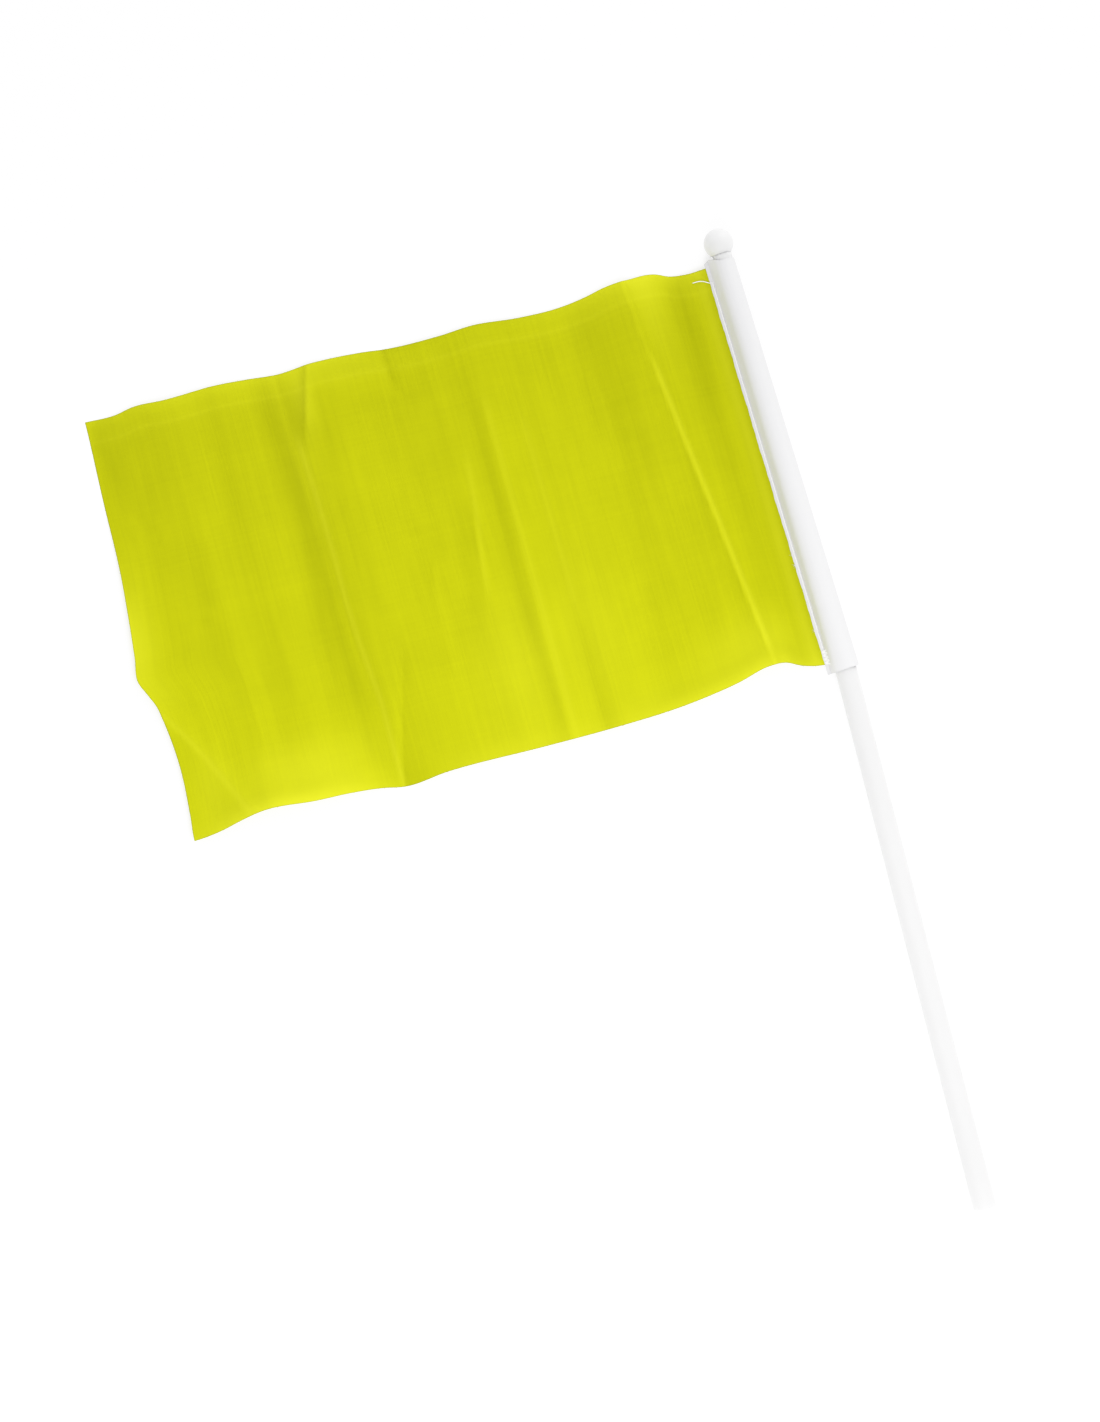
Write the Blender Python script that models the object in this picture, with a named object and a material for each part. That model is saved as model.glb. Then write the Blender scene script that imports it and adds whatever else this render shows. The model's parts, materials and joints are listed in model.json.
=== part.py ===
"""Hand-waving flag: a cloth panel sewn to a sleeve that turns on a two-section plastic pole.

The flag lies on a table, as it would rest after use. +Z is up from the table and +Y runs along the
handle towards the ball. The cloth spreads towards -X. All sizes are in metres.

Round pieces are turned about their own Z axis and then placed by one of two empties. The handle's
empty sits at the handle's open end. The upper section's empty sits at the mouth of its socket, and
leans from the handle by the play of the spigot in the socket. In both, +X is to the right, +Z runs
up the pole and -Y is up from the table.
"""

import math

import bmesh
import bpy
import numpy as np
from mathutils import Euler, Matrix, Vector

# Room between pieces that touch
SEAT_GAP = 0.0003

# Handle, the lower section of the pole
HANDLE_LENGTH = 0.2677
HANDLE_END_RADIUS = 0.0055
HANDLE_WALL = 0.0010
SPIGOT_LENGTH = 0.016
SPIGOT_WALL = 0.0009
SHOULDER_COVER = 0.0003

# Upper section of the pole
UPPER_LENGTH = 0.2039
UPPER_FOOT_RADIUS = 0.00575
UPPER_TOP_RADIUS = 0.00475
UPPER_WALL = 0.0010
SPIGOT_PLAY = 0.0007
SOCKET_SPARE_DEPTH = 0.002
JOINT_LEAN = math.radians(2.29)

# Ball finial
BALL_RADIUS = 0.00715
FINIAL_PLUG_LENGTH = 0.012

# Sleeve of the flag, a band folded round the pole
SLEEVE_CLEARANCE = 0.0003
SLEEVE_THICKNESS = 0.00035
SLEEVE_BELOW_SOCKET = 0.0020
SLEEVE_BELOW_BALL = 0.0030
SLEEVE_CORNER_RISE = 0.0018
SEAM_BESIDE_TUBE = 0.00185
LIP_BEYOND_SEAM = 0.0013
LIP_INSIDE_SEAM = 0.0006
LIPS_ABOVE_TABLE = 0.00175

# Cloth panel, as it lies
PANEL_THICKNESS = 0.0006
PANEL_ABOVE_SOCKET = 0.0022
PANEL_BELOW_TUBE_TOP = 0.0033
PANEL_FLY = 0.3121
PANEL_FLARE = 0.0093
PANEL_TUCKED_IN = 0.0009
PANEL_SQUARENESS = 0.0013

# Sewing threads
THREAD_RADIUS = 0.00020
SEAM_STARTS_BELOW_TOP = 0.0077
SEAM_TO_TACK = 0.0008
TACK_LENGTH = 0.0070
TACK_WIDTH = 0.0018
TACK_ON_SLOPE = 0.0003
TACK_LEGS = 6
TAIL_LENGTH = 0.0062
TAIL_LIFT = 0.0002
TAIL_STEP_UP = 0.0004
TAIL_CURL = 0.0030

# Waves of the cloth. Each pair is a share of the fly, from the hoist, and a height above the table.
# A seam-side height is blended out, because there the sleeve sets it.
BOTTOM_HEIGHTS = (
    (0.00, 0.0020), (0.09, 0.0062), (0.20, 0.0052), (0.40, 0.0040), (0.58, 0.0034),
    (0.678, 0.0006), (0.76, 0.0050), (0.87, 0.0070), (0.95, 0.0026), (1.00, 0.0004),
)
MIDDLE_HEIGHTS = (
    (0.00, 0.0020), (0.10, 0.0034), (0.22, 0.0012), (0.40, 0.0030), (0.55, 0.0010),
    (0.66, 0.0026), (0.76, 0.0008), (0.88, 0.0024), (1.00, 0.0030),
)
TOP_HEIGHTS = (
    (0.00, 0.0024), (0.041, 0.0014), (0.08, 0.0062), (0.13, 0.0075), (0.197, 0.0030),
    (0.27, 0.0006), (0.379, 0.0045), (0.50, 0.0010), (0.625, 0.0060), (0.69, 0.0015),
    (0.793, 0.0075), (0.87, 0.0040), (0.922, 0.0058), (0.955, 0.0020), (1.00, 0.0010),
)
# How far each cut edge stands out past the straight line between its corners.
TOP_EDGE = (
    (0.00, 0.0), (0.041, -0.0005), (0.067, 0.0010), (0.080, 0.0029), (0.13, 0.0037),
    (0.171, 0.0025), (0.197, 0.0007), (0.25, -0.0014), (0.31, -0.0013), (0.379, 0.0004),
    (0.431, -0.0007), (0.508, -0.0008), (0.56, 0.0008), (0.64, 0.0013), (0.69, 0.0),
    (0.742, 0.0013), (0.794, 0.0020), (0.872, 0.0010), (0.924, 0.0013), (0.95, -0.0002),
    (1.00, 0.0),
)
BOTTOM_EDGE = (
    (0.00, 0.0), (0.040, -0.0025), (0.065, -0.0062), (0.090, -0.0066), (0.141, -0.0030),
    (0.217, 0.0003), (0.344, 0.0018), (0.445, 0.0015), (0.60, 0.0006), (0.673, 0.0019),
    (0.70, 0.0), (0.75, -0.0020), (0.80, -0.0029), (0.888, -0.0051), (0.926, -0.0032),
    (0.951, -0.0015), (1.00, 0.0),
)
FREE_EDGE = (
    (0.00, -0.0006), (0.06, -0.0016), (0.18, -0.0025), (0.29, -0.0003), (0.32, 0.0008),
    (0.352, 0.0036), (0.386, 0.0066), (0.44, 0.0053), (0.52, 0.0037), (0.64, 0.0020),
    (0.81, 0.0016), (1.00, 0.0006),
)
# The one pressed crease, as shares of the fly at the bottom and the top edge.
CREASE_AT = (0.678, 0.693)
CREASE_HEIGHT = 0.0016
CREASE_WIDTH = 0.0045
# The free bottom corner folds down along a line from this share of each edge.
CORNER_FOLD_AT = (0.895, 0.30)
CORNER_FOLD_HEIGHT = 0.0030
CORNER_FOLD_WIDTH = 0.0120
CORNER_WAVES_LEFT = 0.2
# Bands in which the shapes of the cut edges fade into the middle, as shares of the cloth
EDGE_BAND = 0.45
FREE_EDGE_BAND = 0.2
# and in which the sleeve's hold on the cloth fades, a length
SLEEVE_BAND = 0.016

# Fineness of the meshes
TURNED_STEPS = 32
ARC_STEPS = 12
SLEEVE_ARC_STEPS = 26
SLEEVE_STATIONS = 10
PANEL_COLUMNS = 52
PANEL_ROWS = 24
THREAD_POINTS = 24
TAIL_POINTS = 6


def clear_scene():
    for thing in list(bpy.data.objects):
        bpy.data.objects.remove(thing, do_unlink=True)


def material(name, colour, roughness, metallic=0.0):
    made = bpy.data.materials.new(name)
    made.use_nodes = True
    shader = made.node_tree.nodes["Principled BSDF"]
    shader.inputs["Base Color"].default_value = (*colour, 1.0)
    shader.inputs["Roughness"].default_value = roughness
    shader.inputs["Metallic"].default_value = metallic
    return made


def smoothstep(x):
    x = np.clip(x, 0.0, 1.0)
    return x * x * (3.0 - 2.0 * x)


def curve_through(pairs, x):
    """A smooth curve through the pairs: cubic pieces whose slope at a pair is that of its neighbours."""
    at, value = np.array(pairs).T
    slope = np.gradient(value, at)
    slope[[0, -1]] = 0.0
    piece = np.clip(np.searchsorted(at, x, side="right") - 1, 0, len(at) - 2)
    width = at[piece + 1] - at[piece]
    t = (x - at[piece]) / width
    return (
        (2 * t**3 - 3 * t**2 + 1) * value[piece]
        + (t**3 - 2 * t**2 + t) * width * slope[piece]
        + (3 * t**2 - 2 * t**3) * value[piece + 1]
        + (t**3 - t**2) * width * slope[piece + 1]
    )


# ---- where the pole lies


def finial_centre_height():
    """Distance from the tube's end to the ball's centre: the ball's flat seat is as wide as the tube."""
    return SEAT_GAP + math.sqrt(BALL_RADIUS**2 - UPPER_TOP_RADIUS**2)


def handle_placing():
    """The pole rests on the ball and on the handle's end, so it slopes by the difference of their radii."""
    reach = HANDLE_LENGTH + UPPER_LENGTH + finial_centre_height()
    slope = math.asin((BALL_RADIUS - HANDLE_END_RADIUS) / reach)
    laid_down = Euler((slope - math.pi / 2, 0, 0)).to_matrix().to_4x4()
    return Matrix.Translation((0, 0, HANDLE_END_RADIUS)) @ laid_down


def upper_placing():
    """The socket's mouth: the two sections lean about the middle of the spigot."""
    pivot = Matrix.Translation((0, 0, HANDLE_LENGTH + SPIGOT_LENGTH / 2))
    lean = Euler((0, -JOINT_LEAN, 0)).to_matrix().to_4x4()
    to_mouth = Matrix.Translation((0, 0, -SPIGOT_LENGTH / 2))
    return handle_placing() @ pivot @ lean @ to_mouth


def placed(matrix, points):
    """Points given in one of the pole's frames, in the table's frame."""
    m = np.array(matrix)
    return points @ m[:3, :3].T + m[:3, 3]


def add_empty(name, parent, matrix):
    empty = bpy.data.objects.new(name, None)
    bpy.context.scene.collection.objects.link(empty)
    empty.parent = parent
    empty.matrix_basis = matrix
    return empty


def add_object(name, data, parent, finish):
    made = bpy.data.objects.new(name, data)
    data.materials.append(finish)
    bpy.context.scene.collection.objects.link(made)
    made.parent = parent
    return made


# ---- turned pieces


def turned(name, profile, parent, finish):
    """A body turned about its Z axis from a profile of (radius, height) points.

    A profile that starts and ends on the axis gives a solid. Any other profile is closed to a loop, which
    gives a tube.
    """
    mesh = bpy.data.meshes.new(name)
    bm = bmesh.new()
    corners = [bm.verts.new((radius, 0, height)) for radius, height in profile]
    edges = [bm.edges.new(pair) for pair in zip(corners[:-1], corners[1:])]
    if profile[0][0] > 0:
        edges.append(bm.edges.new((corners[-1], corners[0])))
    bmesh.ops.spin(
        bm, geom=corners + edges, axis=(0, 0, 1), angle=math.tau, steps=TURNED_STEPS, use_merge=True
    )
    bmesh.ops.remove_doubles(bm, verts=bm.verts, dist=1e-6)
    bmesh.ops.recalc_face_normals(bm, faces=bm.faces)
    bm.to_mesh(mesh)
    bm.free()
    mesh.shade_smooth()
    mesh.set_sharp_from_angle(angle=math.radians(35))
    return add_object(name, mesh, parent, finish)


def handle_tube(parent, finish):
    """Tapered tube, open at both ends, that steps down to the spigot at its top."""
    top = UPPER_FOOT_RADIUS - UPPER_WALL + SHOULDER_COVER
    shoulder = HANDLE_LENGTH - SEAT_GAP - UPPER_FOOT_RADIUS * math.sin(JOINT_LEAN)
    tip = HANDLE_LENGTH + SPIGOT_LENGTH
    spigot = UPPER_FOOT_RADIUS - UPPER_WALL - SPIGOT_PLAY
    soft = HANDLE_WALL * 0.3
    profile = [
        (HANDLE_END_RADIUS - HANDLE_WALL, 0),
        (HANDLE_END_RADIUS - soft, 0),
        (HANDLE_END_RADIUS, soft),
        (top, shoulder - soft),
        (top - soft, shoulder),
        (spigot, shoulder),
        (spigot, tip - soft),
        (spigot - soft, tip),
        (spigot - SPIGOT_WALL, tip),
        (spigot - SPIGOT_WALL, shoulder - HANDLE_WALL),
        (top - HANDLE_WALL, shoulder - 2 * HANDLE_WALL),
    ]
    return turned("handle_tube", profile, parent, finish)


def upper_tube(parent, finish):
    """Tapered tube with a straight socket at its foot and an open top for the finial's plug."""
    socket = UPPER_FOOT_RADIUS - UPPER_WALL
    socket_end = SPIGOT_LENGTH + SOCKET_SPARE_DEPTH
    bore_top = UPPER_TOP_RADIUS - UPPER_WALL
    bore_above_socket = UPPER_FOOT_RADIUS - 2 * UPPER_WALL
    soft = UPPER_WALL * 0.3
    profile = [
        (socket, 0),
        (UPPER_FOOT_RADIUS - soft, 0),
        (UPPER_FOOT_RADIUS, soft),
        (UPPER_TOP_RADIUS, UPPER_LENGTH),
        (bore_top, UPPER_LENGTH),
        (bore_top, UPPER_LENGTH - FINIAL_PLUG_LENGTH - UPPER_WALL),
        (bore_above_socket, socket_end + 2 * UPPER_WALL),
        (socket, socket_end),
    ]
    return turned("upper_tube", profile, parent, finish)


def ball_finial(parent, finish):
    """Ball with a flat seat as wide as the tube and a chamfered plug that fills the tube's top."""
    plug = UPPER_TOP_RADIUS - UPPER_WALL - SEAT_GAP
    seat_drop = finial_centre_height() - SEAT_GAP
    seat_angle = math.asin(UPPER_TOP_RADIUS / BALL_RADIUS)
    turns = np.linspace(0, math.pi - seat_angle, ARC_STEPS + 1)
    profile = [(BALL_RADIUS * math.sin(t), BALL_RADIUS * math.cos(t)) for t in turns]
    profile[0] = (0, BALL_RADIUS)
    chamfer = plug * 0.2
    plug_end = -seat_drop - FINIAL_PLUG_LENGTH
    profile += [(plug, -seat_drop), (plug, plug_end + chamfer), (plug - chamfer, plug_end), (0, plug_end)]
    made = turned("ball_finial", profile, parent, finish)
    made.location = (0, 0, UPPER_LENGTH + finial_centre_height())
    return made


# ---- sewn pieces


def seam_from_axis():
    return UPPER_FOOT_RADIUS + SEAM_BESIDE_TUBE


def lip_drop():
    """Distance below the pole's axis of the panel's hoist, between the lips."""
    return upper_placing().translation.z - LIPS_ABOVE_TABLE


def closed_sheet(name, face, back, parent, finish):
    """A closed body between two grids of points, joined all round their rims."""
    rows, columns = face.shape[:2]
    number = np.arange(rows * columns).reshape(rows, columns)

    def quads(grid):
        return np.stack([grid[:-1, :-1], grid[1:, :-1], grid[1:, 1:], grid[:-1, 1:]], axis=-1).reshape(-1, 4)

    rim = np.concatenate([number[0, :-1], number[:-1, -1], number[-1, :0:-1], number[:0:-1, 0]])
    after = np.roll(rim, -1)
    under = rows * columns
    walls = np.stack([rim, after, after + under, rim + under], axis=-1)
    faces = np.concatenate([quads(number), quads(number)[:, ::-1] + under, walls])
    mesh = bpy.data.meshes.new(name)
    mesh.from_pydata(np.concatenate([face.reshape(-1, 3), back.reshape(-1, 3)]).tolist(), [], faces.tolist())
    bm = bmesh.new()
    bm.from_mesh(mesh)
    bmesh.ops.recalc_face_normals(bm, faces=bm.faces)
    bm.to_mesh(mesh)
    bm.free()
    mesh.shade_smooth()
    mesh.set_sharp_from_angle(angle=math.radians(45))
    return add_object(name, mesh, parent, finish)


def lip_offset():
    """From the panel's middle to the middle of either lip of the sleeve."""
    return PANEL_THICKNESS / 2 + SEAT_GAP + SLEEVE_THICKNESS / 2


def tangent_angle(x, up, radius):
    """Half the angle that a circle about the axis takes up, seen from a point beside it."""
    return math.acos(radius / math.hypot(x, up))


def sleeve_section(radius):
    """The sleeve's middle line across the pole: lip, slope to the tube, round it, slope back, lip."""
    outer, inner = -(seam_from_axis() + LIP_BEYOND_SEAM), -(seam_from_axis() - LIP_INSIDE_SEAM)
    low, high = -lip_drop() - lip_offset(), -lip_drop() + lip_offset()
    from_low = math.atan2(low, inner) + tangent_angle(inner, low, radius)
    from_high = math.atan2(high, inner) - tangent_angle(inner, high, radius)
    turns = np.linspace(from_low, from_high + math.tau, SLEEVE_ARC_STEPS + 1)
    round_tube = np.stack([np.cos(turns), np.sin(turns)], axis=1) * radius
    middle_low = (np.array([inner, low]) + round_tube[0]) / 2
    middle_high = (np.array([inner, high]) + round_tube[-1]) / 2
    return np.concatenate(
        [[(outer, low), (inner, low), middle_low], round_tube, [middle_high, (inner, high), (outer, high)]]
    )


def section_normals(line):
    along = np.gradient(line, axis=0)
    along /= np.linalg.norm(along, axis=1, keepdims=True)
    return np.stack([along[:, 1], -along[:, 0]], axis=1)


def sleeve_radius(height):
    """Radius of the sleeve's middle line where it runs round the tube."""
    share = max(0.0, height / UPPER_LENGTH)
    tube = UPPER_FOOT_RADIUS + (UPPER_TOP_RADIUS - UPPER_FOOT_RADIUS) * share
    return tube + SLEEVE_CLEARANCE + SLEEVE_THICKNESS / 2


def pole_sleeve(parent, finish):
    """Band folded round the upper section, with its two lips meeting on the panel."""
    heights = np.linspace(-SLEEVE_BELOW_SOCKET, UPPER_LENGTH - SLEEVE_BELOW_BALL, SLEEVE_STATIONS)
    faces, backs = [], []
    for station, height in enumerate(heights):
        line = sleeve_section(sleeve_radius(height))
        sideways = section_normals(line) * SLEEVE_THICKNESS / 2
        # The top edge stands up a little towards the lips.
        rise = SLEEVE_CORNER_RISE * smoothstep(-line[:, 0] / seam_from_axis())
        if station < len(heights) - 1:
            rise *= 0
        for group, side in ((faces, 1), (backs, -1)):
            across = line + side * sideways
            group.append(np.stack([across[:, 0], -across[:, 1], height + rise], axis=1))
    return closed_sheet("pole_sleeve", np.array(faces), np.array(backs), parent, finish)


# ---- the cloth panel, worked out in the table's frame


def panel_hoist():
    """Length of the edge along the pole, which follows the tube it is sewn beside."""
    return UPPER_LENGTH - PANEL_BELOW_TUBE_TOP - PANEL_ABOVE_SOCKET


def panel_corners():
    """Hoist bottom, hoist top, free bottom and free top corner of the panel's middle surface."""
    hidden = -(seam_from_axis() - PANEL_TUCKED_IN)
    low, high = PANEL_ABOVE_SOCKET, PANEL_ABOVE_SOCKET + panel_hoist()
    hoist = np.array([[hidden, lip_drop(), low], [hidden, lip_drop(), high]])
    hoist = placed(upper_placing(), hoist)
    middle = hoist.mean(axis=0)
    half = (panel_hoist() + PANEL_FLARE) / 2
    free = middle - [PANEL_FLY, PANEL_SQUARENESS, 0] + np.array([[0, -half, 0], [0, half, 0]])
    return hoist[0], hoist[1], free[0], free[1]


def wave_height(share, up):
    """Height of the panel's middle surface above the table, before the sleeve and the table set it."""
    at_top = smoothstep((up - 1 + EDGE_BAND) / EDGE_BAND)
    at_bottom = smoothstep((EDGE_BAND - up) / EDGE_BAND)
    height = curve_through(MIDDLE_HEIGHTS, share) * (1 - at_top - at_bottom)
    height += curve_through(TOP_HEIGHTS, share) * at_top
    height += curve_through(BOTTOM_HEIGHTS, share) * at_bottom
    crease_at = CREASE_AT[0] + (CREASE_AT[1] - CREASE_AT[0]) * up
    from_crease = np.abs(share - crease_at) * PANEL_FLY
    height += CREASE_HEIGHT * np.sin(np.pi * np.clip(up, 0, 1)) * np.exp(-from_crease / CREASE_WIDTH)
    # Beyond the diagonal fold the corner runs down to the table.
    across, along = CORNER_FOLD_AT
    beyond = (share - across) / (1 - across) - up / along
    legs = PANEL_FLY * (1 - across), (panel_hoist() + PANEL_FLARE) * along
    distance = beyond * legs[0] * legs[1] / math.hypot(*legs)
    height += CORNER_FOLD_HEIGHT * np.exp(-((distance / CORNER_FOLD_WIDTH) ** 2))
    lowered = (1 - CORNER_WAVES_LEFT) * smoothstep(distance / (2 * CORNER_FOLD_WIDTH))
    return height * (1 - lowered)


def panel_point(share, up):
    """Middle surface of the panel: share runs from the hoist to the free edge, up from bottom to top."""
    hoist_low, hoist_high, free_low, free_high = panel_corners()
    hoist = hoist_low + (hoist_high - hoist_low) * up[..., None]
    free = free_low + (free_high - free_low) * up[..., None]
    point = hoist + (free - hoist) * share[..., None]
    point[..., 0] -= curve_through(FREE_EDGE, up) * smoothstep((share - 1 + FREE_EDGE_BAND) / FREE_EDGE_BAND)
    point[..., 1] += curve_through(TOP_EDGE, share) * smoothstep((up - 1 + EDGE_BAND) / EDGE_BAND)
    point[..., 1] -= curve_through(BOTTOM_EDGE, share) * smoothstep((EDGE_BAND - up) / EDGE_BAND)
    free_cloth = smoothstep((share * PANEL_FLY - PANEL_TUCKED_IN - LIP_BEYOND_SEAM - SEAT_GAP) / SLEEVE_BAND)
    point[..., 2] = hoist[..., 2] * (1 - free_cloth) + wave_height(share, up) * free_cloth
    point[..., 2] = np.maximum(point[..., 2], PANEL_THICKNESS / 2)
    return point


def in_upper_frame(points):
    return placed(upper_placing().inverted(), points)


def flag_panel(parent, finish):
    """Rectangle of cloth lying in soft waves, with its hoist edge between the sleeve's lips."""
    first = (PANEL_TUCKED_IN + LIP_BEYOND_SEAM + SEAT_GAP) / PANEL_FLY
    shares = np.concatenate([[0.0], np.linspace(first, 1.0, PANEL_COLUMNS)])
    share, up = np.meshgrid(shares, np.linspace(0, 1, PANEL_ROWS + 1), indexing="ij")
    middle = panel_point(share, up)
    half = np.array([0, 0, PANEL_THICKNESS / 2])
    return closed_sheet(
        "flag_panel", in_upper_frame(middle + half), in_upper_frame(middle - half), parent, finish
    )


# ---- sewing threads, as fine cords


def thread(name, route, parent, finish):
    """A round thread along a route of points, with closed ends."""
    data = bpy.data.curves.new(name, "CURVE")
    data.dimensions = "3D"
    data.bevel_depth = THREAD_RADIUS
    data.bevel_resolution = 1
    data.use_fill_caps = True
    spline = data.splines.new("POLY")
    spline.points.add(len(route) - 1)
    spline.points.foreach_set("co", np.column_stack([route, np.ones(len(route))]).ravel())
    return add_object(name, data, parent, finish)


def seam_reach():
    """Heights of the lower and upper end of the stitched row, above the socket's mouth."""
    top = UPPER_LENGTH - SLEEVE_BELOW_BALL - SEAM_STARTS_BELOW_TOP
    tack_top = PANEL_ABOVE_SOCKET + TACK_LENGTH
    return tack_top + SEAM_TO_TACK + THREAD_RADIUS, top


def thread_drop(face):
    """Distance below the axis of a thread on the upper (face 1) or under (face -1) lip."""
    return lip_drop() - face * (lip_offset() + SLEEVE_THICKNESS / 2 + SEAT_GAP + THREAD_RADIUS)


def stitched_row(face):
    """Points of the straight row, which the needle and the bobbin thread share on their two lips."""
    heights = np.linspace(*seam_reach(), THREAD_POINTS)
    beside = np.full(THREAD_POINTS, -seam_from_axis())
    return np.stack([beside, np.full(THREAD_POINTS, thread_drop(face)), heights], axis=1)


def needle_thread(parent, finish):
    """Stitched row along the upper lip, whose loose end trails across the panel."""
    top = seam_reach()[1]
    past_seam = LIP_BEYOND_SEAM + SEAT_GAP + THREAD_RADIUS
    past_lip = seam_from_axis() + past_seam
    steps = np.linspace(0, 1, TAIL_POINTS)
    tail_height = top + TAIL_STEP_UP + TAIL_CURL * steps**1.5
    shares = (past_seam + PANEL_TUCKED_IN + TAIL_LENGTH * steps) / PANEL_FLY
    ups = (tail_height - PANEL_ABOVE_SOCKET) / panel_hoist()
    on_cloth = in_upper_frame(panel_point(shares, ups))
    above = PANEL_THICKNESS / 2 + SEAT_GAP + THREAD_RADIUS + TAIL_LIFT
    tail = np.stack([-past_lip - TAIL_LENGTH * steps, on_cloth[:, 1] - above, tail_height], axis=1)
    tail[0, 1] = min(tail[0, 1], thread_drop(1) + SEAT_GAP)
    over_lip = np.array([[-past_lip + LIP_BEYOND_SEAM / 2, thread_drop(1), top + TAIL_STEP_UP]])
    return thread("needle_thread", np.concatenate([stitched_row(1), over_lip, tail]), parent, finish)


def bobbin_thread(parent, finish):
    """The lower thread of the same seam, along the under lip."""
    return thread("bobbin_thread", stitched_row(-1), parent, finish)


def foot_tack(parent, finish):
    """Zigzag of stitches that locks the seam's lower end, over the lip and the slope beside it."""
    inner = -(seam_from_axis() - LIP_INSIDE_SEAM)
    heights = PANEL_ABOVE_SOCKET + TACK_LENGTH * np.linspace(0, 1, TACK_LEGS + 1)
    line = sleeve_section(sleeve_radius(heights[0]))
    slope = math.atan2(line[-3, 1] - line[-2, 1], line[-3, 0] - line[-2, 0])
    bend = inner - (SLEEVE_THICKNESS / 2 + SEAT_GAP + THREAD_RADIUS) * math.tan(slope / 2)
    right = bend + TACK_ON_SLOPE
    left = right - TACK_WIDTH
    route = []
    for leg, (low, high) in enumerate(zip(heights[:-1], heights[1:])):
        start = left if leg % 2 == 0 else right
        route += [(start, low), (bend, (low + high) / 2)]
    route.append((left if TACK_LEGS % 2 == 0 else right, heights[-1]))
    x, height = np.array(route).T
    drop = thread_drop(1) - np.maximum(x - bend, 0) * math.tan(slope)
    return thread("foot_tack", np.stack([x, drop, height], axis=1), parent, finish)


def stand_on_origin(whole):
    """Moves the whole flag so that the middle of its footprint is the origin."""
    bpy.context.view_layer.update()
    depsgraph = bpy.context.evaluated_depsgraph_get()
    corners = []
    for thing in bpy.context.scene.objects:
        if thing.type in ("MESH", "CURVE"):
            mesh = thing.evaluated_get(depsgraph).to_mesh()
            corners += [thing.matrix_world @ v.co for v in mesh.vertices]
            thing.evaluated_get(depsgraph).to_mesh_clear()
    corners = np.array(corners)
    low, high = corners.min(axis=0), corners.max(axis=0)
    whole.location = Vector((-(low[0] + high[0]) / 2, -(low[1] + high[1]) / 2, -low[2]))


def main():
    clear_scene()
    white_plastic = material("white_plastic", (0.86, 0.86, 0.87), 0.42)
    handle_plastic = material("handle_plastic", (0.89, 0.89, 0.90), 0.40)
    ball_plastic = material("ball_plastic", (0.83, 0.83, 0.84), 0.35)
    white_cloth = material("white_cloth", (0.82, 0.82, 0.84), 0.75)
    yellow_cloth = material("yellow_cloth", (0.604, 0.645, 0.008), 0.65)
    needle_finish = material("needle_thread", (0.80, 0.80, 0.82), 0.8)
    bobbin_finish = material("bobbin_thread", (0.78, 0.78, 0.80), 0.8)
    tack_finish = material("tack_thread", (0.81, 0.81, 0.83), 0.8)
    whole = add_empty("whole_flag", None, Matrix.Identity(4))
    handle_frame = add_empty("handle_frame", whole, handle_placing())
    upper_frame = add_empty("upper_frame", whole, upper_placing())
    handle_tube(handle_frame, handle_plastic)
    upper_tube(upper_frame, white_plastic)
    ball_finial(upper_frame, ball_plastic)
    pole_sleeve(upper_frame, white_cloth)
    flag_panel(upper_frame, yellow_cloth)
    needle_thread(upper_frame, needle_finish)
    bobbin_thread(upper_frame, bobbin_finish)
    foot_tack(upper_frame, tack_finish)
    stand_on_origin(whole)


main()
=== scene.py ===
"""Looks of a small hand-waving flag, laid out as a Blender add-on.

The flag lies on a table. A yellow-green cloth is sewn to a white sleeve, which sits round the upper
section of a two-section plastic pole with a ball on its end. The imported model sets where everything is.
Each piece here is a surface worked out from two parameters. All sizes are in metres, but the waves of
the cloth are given in millimetres.

Pieces on the pole are worked out beside its axis, in three directions: right, up from the table, and
along the pole towards the ball. A place holds the origin and these three directions.
"""

import json  # noqa: E402
import math  # noqa: E402
from collections import namedtuple  # noqa: E402

import bmesh  # noqa: E402
import bpy  # noqa: E402
import numpy as np  # noqa: E402
from bpy.props import FloatProperty, FloatVectorProperty, PointerProperty  # noqa: E402
from mathutils import Matrix, Vector  # noqa: E402


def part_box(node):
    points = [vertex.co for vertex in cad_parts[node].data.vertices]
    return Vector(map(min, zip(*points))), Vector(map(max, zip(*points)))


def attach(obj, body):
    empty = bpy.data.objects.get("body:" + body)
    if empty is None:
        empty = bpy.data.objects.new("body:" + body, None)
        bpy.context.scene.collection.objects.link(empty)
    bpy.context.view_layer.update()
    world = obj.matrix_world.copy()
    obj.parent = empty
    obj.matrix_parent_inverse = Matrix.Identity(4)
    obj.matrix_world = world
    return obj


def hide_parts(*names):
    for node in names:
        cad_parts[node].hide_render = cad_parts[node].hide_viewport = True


bl_info = {
    "name": "Hand-waving flag",
    "version": (1, 0, 0),
    "blender": (4, 5, 0),
    "location": "3D View > Sidebar > Flag",
    "description": "Makes the cloth, sleeve, stitches, pole and stage of a small hand-waving flag",
    "category": "Add Mesh",
}

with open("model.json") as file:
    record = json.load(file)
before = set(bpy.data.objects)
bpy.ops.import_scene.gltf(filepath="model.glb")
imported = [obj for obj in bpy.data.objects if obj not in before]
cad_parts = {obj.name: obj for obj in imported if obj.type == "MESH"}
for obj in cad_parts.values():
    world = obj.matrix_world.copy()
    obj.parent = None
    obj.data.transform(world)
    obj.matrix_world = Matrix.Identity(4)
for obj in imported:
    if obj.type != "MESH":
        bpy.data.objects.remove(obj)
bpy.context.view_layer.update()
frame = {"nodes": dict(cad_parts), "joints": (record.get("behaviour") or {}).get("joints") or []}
JOINTS = {joint["name"]: joint for joint in frame["joints"]}
MM = 0.001

# ---- where the pole lies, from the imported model

Place = namedtuple("Place", "origin right up along")


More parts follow.
